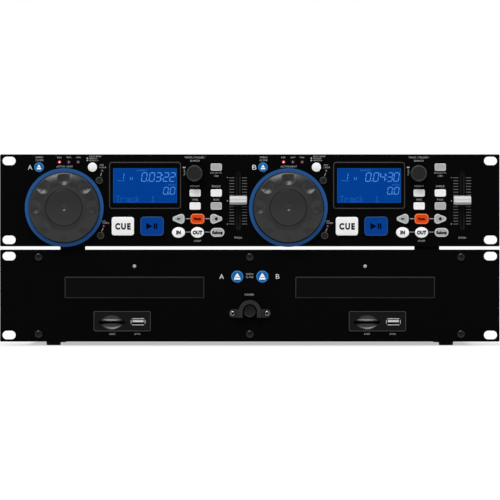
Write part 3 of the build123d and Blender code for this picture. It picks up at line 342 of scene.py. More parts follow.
class Piece:
    """One visible piece: its meshes are gathered here and made into one object."""

    def __init__(self, name, body="cabinet", place=spot):
        self.name, self.body, self.place = name, body, place
        self.points, self.faces, self.uses, self.materials = [], [], [], []

    def add(self, points, faces, material):
        if material not in self.materials:
            self.materials.append(material)
        start = len(self.points)
        self.points.extend(points)
        self.faces.extend(tuple(start + corner for corner in face) for face in faces)
        self.uses.extend([self.materials.index(material)] * len(faces))

    def ring(self, outline, grow, x, z, out):
        return [self.place(x + px, z + pz, out) for px, pz in outline(grow)]

    def skin(self, rings, materials, closed=True):
        """Skin through rings of as many points, capped at both ends unless the last joins the first."""
        count = len(rings[0])
        if not isinstance(materials, list):
            materials = [materials] * len(rings)
        ahead = rings[1:] if closed else rings[1:] + rings[:1]
        quads = [(i, (i + 1) % count, count + (i + 1) % count, count + i) for i in range(count)]
        for behind, front, material in zip(rings, ahead, materials):
            self.add(behind + front, quads, material)
        if closed:
            self.add(rings[-1], [tuple(range(count))], materials[len(rings) - 2])
            self.add(rings[0], [tuple(reversed(range(count)))], materials[0])

    def hoop(self, outline, levels, x, z, material):
        """Band round an outline; levels are the (grow, out) corners of its section."""
        self.skin([self.ring(outline, grow, x, z, out) for grow, out in levels], material, closed=False)

    def plate(self, outline, x, z, low, high, material):
        """Flat shape between two depths."""
        self.skin([self.ring(outline, 0.0, x, z, out) for out in (low, high)], material)

    def circles(self, profile, x, z, sides=SIDES):
        """Rings round one axis, from (radius, out) pairs."""
        return [[self.place(x + radius * nx, z + radius * nz, out) for nx, nz in directions(sides)]
                for radius, out in profile]

    def turned(self, profile, x, z, materials, sides=SIDES):
        """Round form from (radius, out) pairs, from the back to the front."""
        self.skin(self.circles(profile, x, z, sides), materials)

    def flat(self, corners, low, high, material):
        """Polygon with its corners in turn between two depths."""
        self.skin([[self.place(x, z, out) for x, z in corners] for out in (low, high)], material)

    def bar(self, start, end, width, low, high, material):
        """Straight line of some width between two places."""
        dx, dz = end[0] - start[0], end[1] - start[1]
        length = hypot(dx, dz)
        sx, sz = -dz / length * width / 2, dx / length * width / 2
        self.flat([(start[0] + sx, start[1] + sz), (start[0] - sx, start[1] - sz),
                   (end[0] - sx, end[1] - sz), (end[0] + sx, end[1] + sz)], low, high, material)

    def dash(self, x, z, dx, dz, width, low, high, material):
        """Bar middled on a place; dx and dz reach from there to its end."""
        self.bar((x - dx, z - dz), (x + dx, z + dz), width, low, high, material)

    def write(self, words, x, z, height, material=INK, out=INK_T, bold=0.0, width=None, turn=0.0, space=1.05):
        """Words middled on a place; width, where it is given, is the length that they fill."""
        points, faces = word_mesh(words, bold, space)
        reach = max(p.x for p in points) - min(p.x for p in points)
        stretch = width / (reach * height) if width else 1.0
        placed = []
        for p in points:
            across, up = p.x * height * stretch, (p.y - 0.5) * height
            depth = out if p.z > 0 else out - 2 * INK_T
            placed.append(self.place(x + across * cos(turn) - up * sin(turn),
                                     z + across * sin(turn) + up * cos(turn), depth))
        self.add(placed, faces, material)

    def make(self, slot, sharp=32.0):
        mesh = bpy.data.meshes.new(self.name)
        mesh.from_pydata(self.points, [], self.faces)
        for material in self.materials:
            mesh.materials.append(material)
        for polygon, use in zip(mesh.polygons, self.uses):
            polygon.material_index = use
        tidy(mesh)
        for polygon in mesh.polygons:
            polygon.use_smooth = True
        mesh.set_sharp_from_angle(angle=radians(sharp))
        made = in_scene(self.name, mesh)
        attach(made, self.body)
        return made


def tidy(mesh):
    """Join points that coincide and turn every face outwards."""
    work = bmesh.new()
    work.from_mesh(mesh)
    bmesh.ops.remove_doubles(work, verts=work.verts, dist=0.0005 * MM)
    bmesh.ops.recalc_face_normals(work, faces=work.faces)
    work.to_mesh(mesh)
    work.free()


# ---- lettering
CAPITAL = 0.72  # height of a capital as a share of the font's size
WORDS = {}


def word_mesh(words, bold, space):
    """Solid mesh of some words with capitals one unit high, middled on the origin."""
    if (words, bold, space) not in WORDS:
        curve = put(bpy.data.curves.new("words", "FONT"), body=words, size=1 / CAPITAL, align_x="CENTER",
                    resolution_u=3, offset=bold, extrude=0.1, space_character=space)
        holder = bpy.data.objects.new("words", curve)
        mesh = bpy.data.meshes.new_from_object(holder)
        WORDS[words, bold, space] = ([v.co.copy() for v in mesh.vertices],
                                     [tuple(p.vertices) for p in mesh.polygons])
        bpy.data.objects.remove(holder)
        bpy.data.meshes.remove(mesh)
    return WORDS[words, bold, space]


# Strokes of a seven-part numeral, as (x, z) ends in a cell one unit wide and two high
STROKES = {
    "a": ((0, 2), (1, 2)), "g": ((0, 1), (1, 1)), "d": ((0, 0), (1, 0)), "f": ((0, 1), (0, 2)),
    "b": ((1, 1), (1, 2)), "e": ((0, 0), (0, 1)), "c": ((1, 0), (1, 1)),
}
NUMERALS = {"0": "adfbec", "1": "bc", "2": "agdbe", "3": "agdbc", "4": "gfbc"}
LEAN = 0.16  # of a numeral, across for each step up
STROKE_W = 0.15  # of its strokes, as a share of its width
DOT_W = 0.84  # of a dot, as a share of the matrix's pitch
FILM = 0.02  # thickness of what a screen shows


def numeral(piece, figure, x, z, width, height, out, material):
    """Leaning seven-part numeral by its lower left corner."""
    thick = width * STROKE_W
    for name in NUMERALS[figure]:
        (x0, z0), (x1, z1) = STROKES[name]
        level = z0 == z1
        cut = thick * 0.65
        ends = []
        for ex, ez, way in ((x0, z0, 1), (x1, z1, -1)):
            px = x + ex * width + (way * cut if level else 0)
            pz = z + ez * height / 2 + (0 if level else way * cut)
            ends.append((px + (pz - z) * LEAN, pz))
        piece.bar(*ends, thick, out - FILM, out, material)


# Rows of a five by seven dot matrix, from the top
DOTS = {
    "T": "##### ..#.. ..#.. ..#.. ..#.. ..#.. ..#..",
    "r": "..... ..... #.##. ##..# #.... #.... #....",
    "a": "..... ..... .###. ....# .#### #...# .####",
    "c": "..... ..... .###. #.... #.... #...# .###.",
    "k": "#.... #.... #..#. #.#.. ##... #.#.. #..#.",
    "1": "..#.. .##.. ..#.. ..#.. ..#.. ..#.. .###.",
}


def dot_letter(piece, letter, x, z, pitch, out, material):
    """Dot matrix letter by its lower left corner."""
    size = pitch * DOT_W
    for row, dots in enumerate(DOTS[letter].split()):
        for column, dot in enumerate(dots):
            if dot == "#":
                piece.dash(x + column * pitch, z + (6 - row) * pitch, size / 2, 0, size,
                           out - FILM, out, material)


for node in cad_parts:
    dress(node)
soften("front_fittings", 0.35)
soften("rubber_feet", 0.4)


# ---- keys
STEM_L = 1.5  # from a switch to the back of its cap
MARK_T = 0.05  # thickness of the marks on keys


def key_cap(piece, x, z, outline, proud, finishes, dish, crown, rim):
    """Key cap: straight skirt, rounded edge, rim, and a face that is dished or crowned. Where its two
    finishes differ, the lighter one on the skirt, edge and rim is a painted highlight and the darker one on
    the face is painted shade.
    """
    rim_finish, face_finish, _ = finishes
    edge, steps = 0.5, 4
    levels = [(0.0, -SWITCH_FRONT + STEM_L), (0.0, proud - edge)]
    for step in range(1, steps + 1):
        turn = step / steps * pi / 2
        levels.append((-edge * (1 - cos(turn)), proud - edge + edge * sin(turn)))
    levels.append((-edge - rim, proud + crown * 0.3))
    if dish:
        levels.append((-edge - rim - 0.15, proud - dish))
    rings = [piece.ring(outline, grow, x, z, out) for grow, out in levels]
    materials = [rim_finish] * (len(rings) - 1)
    if dish:
        materials[-1] = face_finish
    edge_points = outline(levels[-1][0])
    for share in (0.75, 0.45, 0.15):
        out = proud - dish + crown * (1 - share ** 2)
        rings.append([piece.place(x + px * share, z + pz * share, out) for px, pz in edge_points])
        materials.append(face_finish)
    piece.skin(rings, materials)


def play_mark(piece, x, z, out):
    piece.flat([(x - 5.6, z + 3.3), (x - 5.6, z - 3.3), (x + 0.7, z)], out - MARK_T, out, NAVY_INK)
    for dx in (2.3, 4.4):
        piece.dash(x + dx, z, 0, 2.7, 1.6, out - MARK_T, out, NAVY_INK)


def eject_mark(size):
    """Triangle over a bar; size is half the bar's length."""
    def mark(piece, x, z, out):
        base, tip, half = z - size * 0.1, z + size * 1.25, size * 0.88
        piece.flat([(x - half, base), (x + half, base), (x, tip)], out - MARK_T, out, WHITE_KEY)
        piece.dash(x, z - size * 0.64, size, 0, size * 0.66, out - MARK_T, out, WHITE_KEY)

    return mark


def minus_mark(piece, x, z, out, dx=1.6, dz=0):
    piece.dash(x, z, dx, dz, 1.4, out - MARK_T, out, DARK_INK)


def plus_mark(piece, x, z, out):
    minus_mark(piece, x, z, out)
    minus_mark(piece, x, z, out + 0.01, 0, 1.6)


def word_mark(words, height, width, bold=0.1, space=1.05):
    return lambda piece, x, z, out: piece.write(words, x, z, height, DARK_INK, out, bold, width, space=space)


def key_size(node):
    """Width, height and stand-out of a key's cap."""
    low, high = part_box(node)
    return ((high.x - low.x) / MM - 2 * COLLAR_LIP, (high.z - low.z) / MM - 2 * COLLAR_LIP,
            (FACE_Y - low.y) / MM)


def box_key(corner):
    return lambda width, height: rounded(width, height, corner)


def round_key(width, height):
    return hull((0, 0, width / 2))


def pointed_key(side):
    return lambda width, height: drop(width, height, 2.4, 3.2, side)


def long_key(width, height):
    return rounded(width, height, height / 2 - 0.01)


# finishes of a key's rim and face, and its slot; a rim finish lighter than the face's is a painted highlight,
# and a face finish darker than the rim's is painted shade
WHITE = (WHITE_KEY, WHITE_FACE_SHADE, "white_key")
PLAIN = (WHITE_KEY, WHITE_KEY, "white_key")
GREY = (GREY_RIM_HIGHLIGHT, GREY_FACE_SHADE, "grey_key")
DARK = (DARK_RIM_HIGHLIGHT, DARK_KEY, "dark_key")
EJECT = (EJECT_RIM_HIGHLIGHT, EJECT_FACE_SHADE, "blue_key")
# outline, finishes, dish, crown, width of the rim, mark
DARK_ROUND = (round_key, DARK, 0.15, 0.0, 0.25, None)
WHITE_OPTION = (box_key(1.5), WHITE, 0.1, 0.0, 0.4, None)
GREY_OPTION = (box_key(1.5), GREY, 0.2, 0.0, 0.3, None)
KEYS = {
    "eject": (round_key, EJECT, 0.2, 0.0, 0.25, eject_mark(2.1)),
    "mode": (round_key, WHITE, 0.0, 0.5, 0.4, None),
    "upper": DARK_ROUND, "lower": DARK_ROUND,
    "cue": (box_key(2.6), WHITE, 0.0, 0.3, 0.6, word_mark("CUE", 5.7, 15.0, 0.08, 1.32)),
    "play": (box_key(3.6), (BLUE_EDGE_HIGHLIGHT, BLUE_KEY, "blue_key"), 0.25, 0.0, 0.6, play_mark),
    "minus": (pointed_key(-1), GREY, 0.2, 0.0, 0.5, minus_mark),
    "pitch": (box_key(3.2), (ORANGE_RIM_HIGHLIGHT, ORANGE_FACE_SHADE, "orange_key"), 0.2, 0.0, 0.4,
              word_mark("Pitch", 2.3, 7.0)),
    "plus": (pointed_key(1), GREY, 0.2, 0.0, 0.5, plus_mark),
    "loop_in": (oval, PLAIN, 0.0, 0.5, 0.7, word_mark("IN", 3.3, 4.4)),
    "loop_out": (oval, PLAIN, 0.0, 0.5, 0.7, word_mark("OUT", 3.3, 9.2)),
    "reloop": (long_key, GREY, 0.2, 0.0, 0.5, word_mark("Reloop", 2.8, 10.2)),
    "repeat": WHITE_OPTION, "time": WHITE_OPTION, "single": WHITE_OPTION,
    "program": GREY_OPTION, "source": GREY_OPTION,
    "tray": (round_key, EJECT, 0.2, 0.0, 0.35, eject_mark(2.95)),
}


def make_key(node, shape, finishes, dish, crown, rim, mark):
    x, z = middle(node)
    width, height, proud = key_size(node)
    piece = Piece(f"{node}_cap", node)
    key_cap(piece, x, z, shape(width, height), proud - max(crown, 0.01), finishes, dish, crown, rim)
    if mark:
        mark(piece, x, z, proud - dish + 0.03 - (0.01 if dish else 0.0))
    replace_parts(piece.make(finishes[-1]), node)


for stem, looks in KEYS.items():
    for deck in "ab":
        make_key(f"{stem}_button_{deck}", *looks)


def power_button():
    """Round button with a bevelled edge, drawn in the lighter dark finish as a painted highlight, and a
    shallow dish.
    """
    node = "power_button"
    x, z = middle(node)
    width, _, proud = key_size(node)
    radius = width / 2
    piece = Piece("power_button_cap", node)
    profile = [(radius, -SWITCH_FRONT + 4), (radius, proud - 0.9), (radius - 0.15, proud - 0.45),
               (radius - 0.5, proud - 0.1), (radius - 0.9, proud), (radius - 1.4, proud - 0.05),
               (radius - 2.4, proud - 0.25), (1.5, proud - 0.4), (0.2, proud - 0.4)]
    # the bevelled edge's lighter dark finish is a painted highlight
    piece.turned(profile, x, z, [DARK_KEY] * 2 + [DARK_RIM_HIGHLIGHT] * 2 + [DARK_KEY] * 4)
    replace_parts(piece.make("dark_key"), node)


power_button()


# ---- jog wheels
RIM_R = 34.25
RIM_ROUND = 1.6
GROOVE_R = 18.1
CENTRE_R = 17.35
RIM_OUT = 11.0
CROWN_OUT = 14.4
HUB_OUT = 15.35
CREST_R = 25.0  # where the dial's face stands out most
CREST_DROP = 0.5  # of the face from there to its groove
FALL = 2.6  # power of the fall to the rim
DIMPLE_COUNT = 8
DIMPLE_IN, DIMPLE_OUT = 21.6, 32.4  # from the axis
DIMPLE_HALF = 6.3
DISC_BACK, CLIP_BACK = -16.75, -13.3  # backs of the code disc and of the spindle's clip


def dial_out(radius):
    """How far the dial's face stands out: it falls gently to its groove, and ever faster to its rim."""
    share = max(0.0, (radius - GROOVE_R) / (RIM_R - GROOVE_R))
    hollow = max(0.0, (CREST_R - radius) / (CREST_R - GROOVE_R))
    out = CROWN_OUT - (CROWN_OUT - RIM_OUT) * share ** FALL - CREST_DROP * hollow ** 2
    inside = radius - (RIM_R - RIM_ROUND)
    if inside > 0:
        out -= RIM_ROUND - sqrt(max(0.0, RIM_ROUND ** 2 - inside ** 2))
    return out


def dimple(x, z):
    """Depth of the finger dimples at one place.

    Each is a scoop with a level floor and a round end near the axis; the floor runs out through the
    face that falls to the rim, with ever steeper sides."""
    step = tau / DIMPLE_COUNT
    angle = pi / 2 + round((atan2(z, x) - pi / 2) / step) * step
    outward = x * cos(angle) + z * sin(angle) - DIMPLE_IN - DIMPLE_HALF
    across = z * cos(angle) - x * sin(angle)
    reach = hypot(across, min(outward, 0.0)) / DIMPLE_HALF
    if reach >= 1:
        return 0.0
    steep = max(outward, 0.0) / (DIMPLE_OUT - DIMPLE_IN - DIMPLE_HALF)
    return max(0.0, dial_out(hypot(x, z)) - dial_out(DIMPLE_OUT)) * (1 - reach ** (2 + 4 * steep))


def jog_wheel(deck):
    """Dial with its finger dimples, centre plate, spindle, clip and code disc, in one skin."""
    x, z = middle(f"jog_wheel_{deck}")
    piece = Piece(f"jog_wheel_{deck}_dial", f"jog_wheel_{deck}")
    sides, steps = 240, 46
    rings = piece.circles([
        (0.2, DISC_BACK), (15, DISC_BACK), (15, DISC_BACK + 0.8), (4, DISC_BACK + 0.8), (4, CLIP_BACK),
        (6, CLIP_BACK), (6, CLIP_BACK + 1), (4, CLIP_BACK + 1), (4, 0.8), (RIM_R - 0.5, 0.8), (RIM_R, 1.3)],
        x, z, sides)
    for step in range(steps + 1):
        radius = RIM_R - (RIM_R - GROOVE_R) * step / steps
        rings.append([piece.place(x + radius * nx, z + radius * nz,
                                  dial_out(radius) - dimple(radius * nx, radius * nz))
                      for nx, nz in directions(sides)])
    materials = [DIAL] * len(rings)
    floor, rise = CROWN_OUT - 3.4, HUB_OUT - CROWN_OUT
    centre = [(GROOVE_R, floor), (CENTRE_R, floor), (CENTRE_R, CROWN_OUT - 0.25),
              (CENTRE_R - 0.1, CROWN_OUT - 0.05), (CENTRE_R - 0.3, CROWN_OUT)]
    centre += [(radius, CROWN_OUT + rise * (1 - radius / CENTRE_R)) for radius in (14, 10, 6, 3.9, 3.4)]
    centre += [(2.9, HUB_OUT - 0.5), (2.2, HUB_OUT - 0.9), (1.2, HUB_OUT - 1.25), (0.1, HUB_OUT - 1.35)]
    rings += piece.circles(centre, x, z, sides)
    plate = turned_plate(f"dial_centre_{deck}", x, z, 0.8)
    piece.skin(rings, materials + [plate] * (len(centre) - 1))
    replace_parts(piece.make("dial_plastic", sharp=50), f"jog_wheel_{deck}")


# ---- knobs and faders
def track_knob(deck):
    """Knob with a knurled skirt and a sunk top inside a rim, on its shaft; the rim's rounded crest is drawn
    lighter as a painted highlight.
    """
    node = f"track_knob_{deck}"
    x, z = middle(node)
    piece = Piece(f"{node}_grip", node)
    sides, ribs = 192, 32
    rings = []
    for radius, out, depth in ((7.9, 1.6, 0.0), (8.12, 1.9, 0.16), (8.08, 6.0, 0.16), (7.75, 12.2, 0.16),
                               (7.6, 12.8, 0.0), (7.3, 13.3, 0.0), (6.95, 13.5, 0.0), (6.6, 13.4, 0.0),
                               (6.3, 13.1, 0.0), (3.0, 13.0, 0.0), (0.4, 13.0, 0.0)):
        ring = []
        for nx, nz in directions(sides):
            reach = radius - depth * (0.5 + 0.5 * cos(ribs * atan2(nz, nx))) ** 2
            ring.append(piece.place(x + reach * nx, z + reach * nz, out))
        rings.append(ring)
    # the crest rings take the lighter rim finish as a painted highlight
    piece.skin(rings, [KNOB] * 4 + [KNOB_RIM_HIGHLIGHT] * 3 + [KNOB] * 3)
    piece.turned([(3.0, -9.8), (3.0, 2.0)], x, z, SCREW, sides=32)
    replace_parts(piece.make("dark_key"), node)


def fader_cap(deck):
    """Rounded cap with a slight finger hollow, a pointer at its top edge, and the lever behind."""
    node, back, shoulder, round_end = f"pitch_fader_{deck}", 1.5, 3.8, 0.6
    low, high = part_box(node)
    x, z = middle(node)
    piece = Piece(f"{node}_cap", node)
    half, top = (high.z - low.z) / MM / 2, (FACE_Y - low.y) / MM
    side = [(half, back), (half, 3.2), (half - 0.15, shoulder)]
    side += [(half - 0.15 - 1.5 * share ** 1.6, shoulder + (top - 4.6) * share)
             for share in (0.3, 0.6, 0.85, 1.0)]
    side += [(half - 2.1, top - 0.25), (half - 2.7, top), (1.0, top - 0.2), (0.3, top - 0.25)]
    outline = side + [(-height, out) for height, out in reversed(side)]
    reach = (high.x - low.x) / MM / 2
    rings = [[piece.place(x + across, z + height * scale, back + (out - back) * scale)
              for height, out in outline]
             for across, scale in ((-reach, 0.9), (round_end - reach, 1.0), (reach - round_end, 1.0),
                                   (reach, 0.9))]
    piece.skin(rings, FADER_CAP)
    pointer = z + half - 0.4
    piece.flat([(x - 0.6, pointer), (x + 0.6, pointer), (x, pointer + 0.9)], 2.0, 3.4, FADER_CAP)
    piece.dash(x, z, 0, 2.5, 1.6, -12.5, 1.6, SCREW)
    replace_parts(piece.make("fader_cap"), node)


def fader_lips():
    """Dust lips behind each fader's slot, with a slit for the lever."""
    piece = Piece("fader_dust_lips")
    for deck in "ab":
        x, z = middle(f"pitch_fader_{deck}")
        for side in (-1, 1):
            piece.dash(x + side * 2.45, z, 0, 30.5, 2.9, -3.9, -3.2, DUST_LIP)
    piece.make("rubber")


for deck in "ab":
    jog_wheel(deck)
    track_knob(deck)
    fader_cap(deck)
fader_lips()


# ---- screws
SHANK_R, SHANK_L = 1.9, 7.0
HEAD_T = 2.35
SCREW_X, SCREW_Z, PANEL_HEAD_R = 204.0, 37.2, 3.75
GUARD_X, GUARD_Z, GUARD_T = 16.6, -17.2, 2.4  # of the power button's guard
TOP_X, TOP_Y = 151.0, PANEL_T + 5.0
SMALL_HEAD_R = 2.6


def cross_socket(px, pz, size):
    """Depth of a cross-shaped driver socket at one place."""
    arm, reach = 0.17 * size, 0.62 * size
    along, across = max(abs(px), abs(pz)), min(abs(px), abs(pz))
    inside = min((arm - across) / 0.25, (reach - along) / 0.5, 1.0)
    return 0.32 * size * max(0.0, inside)


def round_socket(px, pz, size):
    return 0.5 * size * min(1.0, max(0.0, (0.46 * size - hypot(px, pz)) / 0.15))


def screw(piece, x, z, radius, seat=0.0, socket=cross_socket, material=SCREW, floor=SCREW):
    """Screw with a domed head that has a driver socket; floor is the finish inside the socket, which on the
    guard's bright screws is dark as painted shade.
    """
    steps = 18
    rings = piece.circles([(SHANK_R, seat - SHANK_L), (SHANK_R, seat), (radius - 0.15, seat),
                           (radius, seat + 0.15), (radius, seat + HEAD_T * 0.5)], x, z)
    for step in range(1, steps):
        share = 1 - step / steps
        out = seat + HEAD_T * (0.5 + 0.5 * sqrt(1 - share ** 2))
        ring = []
        for nx, nz in directions(SIDES):
            px, pz = radius * share * nx, radius * share * nz
            ring.append(piece.place(x + px, z + pz, out - socket(px, pz, radius)))
        rings.append(ring)
    inner = sum(1 for step in range(1, steps) if 1 - step / steps < 0.42)
    piece.skin(rings, [material] * (len(rings) - 1 - inner) + [floor] * inner)


def screws():
    piece = Piece("screw_heads")
    for x in (-SCREW_X, 0.0, SCREW_X):
        for z in (-SCREW_Z, SCREW_Z):
            screw(piece, x, PLAYER_Z + z, PANEL_HEAD_R)
    for side in (-1, 1):
        # the guard's bright screws get a dark socket floor as painted shade
        screw(piece, side * GUARD_X, PLAYER_Z + GUARD_Z, SMALL_HEAD_R, GUARD_T, round_socket, BRIGHT_SCREW,
              HOLLOW_SHADE)
    piece.place = on_top(CONTROL_TOP)
    for side in (-1, 1):
        screw(piece, side * TOP_X, TOP_Y, SMALL_HEAD_R)
    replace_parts(piece.make("screw_steel"), "screws")


screws()


# ---- printed marks on the control unit
# words, x from the wheel's axis, z from the panel's middle, height, width
DECK_WORDS = [
    ("OPEN/", -24.1, 41.6, 1.6, 7.5), ("CLOSE", -24.0, 38.8, 1.6, 7.5),
    ("DISC", -4.6, 41.5, 1.4, 4.4), ("DATA", 4.4, 41.5, 1.4, 4.4), ("CARD", 13.4, 41.5, 1.4, 4.4),
    ("ACTIVE INPUT", 0.5, 32.7, 1.8, 15.6),
    ("PITCH BEND", 29.9, 42.6, 1.3, 11.6), ("SEARCH", 28.0, 40.7, 1.3, 7.4),
    ("SCRATCH", 28.5, 38.6, 1.3, 8.4),
    ("KEY", 36.3, 34.2, 1.3, 4.0), ("LOCK", 37.3, 31.9, 1.4, 6.2),
    ("AUTO", 37.6, -19.9, 1.3, 4.6), ("TEMPO", 39.9, -21.9, 1.4, 6.6),
    ("TRACK / FOLDER /", 126.0, 41.5, 1.7, 20.0), ("SEARCH", 126.0, 38.3, 1.7, 9.2),
    ("DISC/DATA/", 146.6, 26.7, 1.6, 11.2), ("CARD", 146.8, 23.7, 1.6, 4.6),
    ("REPEAT", 126.3, 13.7, 1.7, 9.0), ("SINGLE", 146.6, 13.7, 1.7, 8.4),
    ("TIME", 126.2, 0.7, 1.7, 5.8), ("PGM", 146.7, 0.7, 1.7, 5.4),
    ("LOOP", 128.7, -39.1, 1.8, 6.5), ("PITCH", 168.0, -36.1, 1.8, 7.0),
]
# ends of the lines that join keys, and their widths
DECK_LINES = [
    (117.2, -17.7, 121.5, -17.7, 0.7), (136.1, -17.7, 140.4, -17.7, 0.7),
    (117.6, -30.6, 121.9, -30.6, 0.5), (136.0, -30.6, 140.6, -30.6, 0.5),
    (36.2, 26.6, 35.0, 23.6, 0.5), (37.6, -27.0, 36.1, -30.2, 0.5),
    (114.5, 31.8, 117.2, 31.8, 1.2), (157.0, 22.0, 158.3, 22.0, 0.35),
    (157.0, -22.9, 158.3, -22.9, 0.35), (157.65, -23.55, 157.65, -22.25, 0.35),
]
TICKS = 17
TICK_PITCH = 2.79
TICK_SINK = 0.5  # of their middle below the panel's


def control_print():
    piece = Piece("control_unit_print")
    for deck, deck_x in DECK_X.items():
        piece.write(deck.upper(), deck_x - 33.0, CONTROL_Z + 32.1, 4.8, PRINT, width=4.1)
        for words, x, z, height, width in DECK_WORDS:
            piece.write(words, deck_x + x, CONTROL_Z + z, height, width=width)
        piece.write("PUSH", deck_x + 115.9, CONTROL_Z + 27.2, 1.4, width=5.6, turn=pi / 2)
        for x0, z0, x1, z1, width in DECK_LINES:
            piece.bar((deck_x + x0, CONTROL_Z + z0), (deck_x + x1, CONTROL_Z + z1), width, -INK_T, INK_T, INK)
        for x, z, radius in ((22.3, 40.8, 0.75), (22.3, 38.6, 0.75), (157.65, -0.5, 0.5)):
            piece.plate(hull((0, 0, radius)), deck_x + x, CONTROL_Z + z, -INK_T, INK_T, INK)
        for tick in range(TICKS):
            z = CONTROL_Z + (tick - (TICKS - 1) / 2) * TICK_PITCH - TICK_SINK
            for x in (161.8, 174.1):
                piece.dash(deck_x + x, z, 2.4, 0, 0.5, -INK_T, INK_T, DIM_INK)
    piece.make("white_key")


# ---- displays
DISPLAY = (78.0, 14.4)
DISPLAY_W, DISPLAY_H, DISPLAY_CORNER = 69.6, 45.5, 3.0
LCD_W, LCD_H = 61.7, 33.6
TIMES = {"a": "00322", "b": "00430"}


def display(deck):
    """Screen with its numerals, and the bezel's raised edge line, whose lighter grey is a painted highlight
    on the bezel's chamfer.
    """
    x, z = DECK_X[deck] + DISPLAY[0], CONTROL_Z + DISPLAY[1]
    piece = Piece(f"screen_{deck}")
    out = 0.66

    def inside(px, pz):
        """Place on the screen from its lower left corner."""
        return x - LCD_W / 2 + px, z - LCD_H / 2 + pz

    piece.plate(rounded(LCD_W, LCD_H, 0.4), x, z, 0.5, out, LCD_EDGE)
    piece.plate(rounded(LCD_W - 1.6, LCD_H - 1.6, 0.4), x, z, 0.55, out + FILM, LCD_BLUE)
    out += 0.05
    for figure, px in zip(TIMES[deck], (27.2, 34.6, 41.0, 48.2, 54.4)):
        numeral(piece, figure, *inside(px, 20.8), 4.6, 8.2, out, LCD_MARK)
    for px, pz in ((33.4, 21.2), (47.1, 23.0), (47.7, 26.8), (53.6, 8.6)):
        piece.plate(hull((0, 0, 0.45)), *inside(px, pz), out - FILM, out, LCD_MARK)
    numeral(piece, "1", *inside(6.4, 22.6), 3.4, 6.0, out, LCD_MARK)
    for px in (48.4, 54.8):
        numeral(piece, "0", *inside(px, 8.3), 4.2, 6.7, out, LCD_MARK)
    for px in (16.8, 18.7):
        piece.bar(inside(px, 22.0), inside(px, 24.8), 0.9, out - FILM, out, LCD_DIM)
    for words, px, pz, height, width in (("TRACK", 7.6, 21.4, 1.4, 7.2), ("ELAPSED", 27.4, 31.4, 1.4, 9.6),
                                         ("PITCH", 56.8, 17.4, 1.5, 6.6)):
        piece.write(words, *inside(px, pz), height, LCD_DIM, out, width=width)
    for cell, letter in enumerate("Track  1"):
        if letter != " ":
            dot_letter(piece, letter, *inside(2.9 + cell * 4.85, 1.1), 0.88, out, LCD_FAINT)
    piece.make("screen")

    # the bezel's edge line is a painted highlight on its chamfer
    edge = Piece(f"bezel_edge_highlight_{deck}")
    levels = [(0.04, 0.0), (0.04, 0.5), (-0.15, 0.95), (-0.45, 1.1), (-0.75, 1.1), (-1.0, 1.0), (-1.0, 0.0)]
    edge.hoop(rounded(DISPLAY_W, DISPLAY_H, DISPLAY_CORNER), levels, x, z, BEZEL_EDGE_HIGHLIGHT)
    edge.make("screen")


for deck in "ab":
    display(deck)
control_print()


# ---- lamps
LAMP_R, SMALL_LAMP_R = 1.74, 1.34
LAMP_X, LAMP_Z = (-4.6, 4.4, 13.4), 36.9  # above each wheel; the first one is lit
SMALL_LAMPS = ((36.6, 28.6), (38.0, -24.9))
TRAY_X, TRAY_LAMP_Z = 111.4, 28.4


def lamp(piece, x, z, radius, outer, core):
    """Domed end of a light pipe."""
    dome = [(1, 0.0), (1, 0.45), (0.92, 0.75), (0.7, 1.0), (0.45, 1.12), (0.15, 1.2)]
    piece.turned([(radius * share, out) for share, out in dome], x, z, [outer] * 4 + [core], sides=24)


def lamps():
    lit, dark, clear = (Piece(name) for name in ("lamps_lit", "lamps_dark", "tray_lamps"))
    for deck_x in DECK_X.values():
        lamp(lit, deck_x + LAMP_X[0], CONTROL_Z + LAMP_Z, LAMP_R, LAMP_LIT, LAMP_CORE)
        lit.plate(hull((0, 0, 0.62)), deck_x + LAMP_X[0], CONTROL_Z + LAMP_Z, 1.0, 1.24, LAMP_CORE)
        for dx in LAMP_X[1:]:
            lamp(dark, deck_x + dx, CONTROL_Z + LAMP_Z, LAMP_R, LAMP_DIM, LAMP_DIM_CORE)
        for dx, dz in SMALL_LAMPS:
            lamp(dark, deck_x + dx, CONTROL_Z + dz, SMALL_LAMP_R, LAMP_DIM, LAMP_DIM_CORE)
    for side in (-1, 1):
        lamp(clear, side * TRAY_X, PLAYER_Z + TRAY_LAMP_Z, LAMP_R, LAMP_CLEAR, LAMP_CLEAR)
    for piece in (lit, dark, clear):
        piece.make("light_guide")


lamps()


# ---- front of the player
PORT_X, PORT_Z = 123.3, -24.8
PORT_W, PORT_H, PORT_CORNER = 55.2, 19.5, 1.6
CARD_X, CARD_Z = -10.0, -1.0
DIP_W, DIP_H, DIP_DEEP = 25.4, 13.4, 1.2
DIP_END = 26.4  # length of the whole dip, whose tips run out beside the slot
DATA_X, DATA_Z = 15.4, -0.5  # middle of the mouth that the lips frame
PLATE_OUT = 0.4  # face of the port plates inside their rims
TRAY_Z = 7.8
DOOR_W, DOOR_H = 134.9, 20.8


def dip_half_height(x):
    """Half height of the dip, which two arcs bound."""
    half, rise = DIP_END / 2, DIP_H / 2
    radius = (half ** 2 + rise ** 2) / (2 * rise)
    return sqrt(radius ** 2 - x ** 2) - radius + rise


def card_dip(piece, x, z):
    """Hollow above and below the card slot, for the finger that pushes the card."""
    columns, rows, slot_half = 24, 10, 1.3
    for side in (-1, 1):
        rings = []
        for column in range(columns + 1):
            px = DIP_W * (column / columns - 0.5)
            reach = max(dip_half_height(px), slot_half + 0.02)
            ring = []
            for row in range(rows + 1):
                pz = slot_half + (reach - slot_half) * row / rows
                out = PLATE_OUT + 0.02 - DIP_DEEP * sin(pi * row / rows)
                ring.append(piece.place(x + px, z + side * pz, out))
            low = PLATE_OUT - DIP_DEEP - 0.08
            ring += [piece.place(x + px, z + side * pz, low) for pz in (reach, slot_half)]
            rings.append(ring)
        piece.skin(rings, DIP)


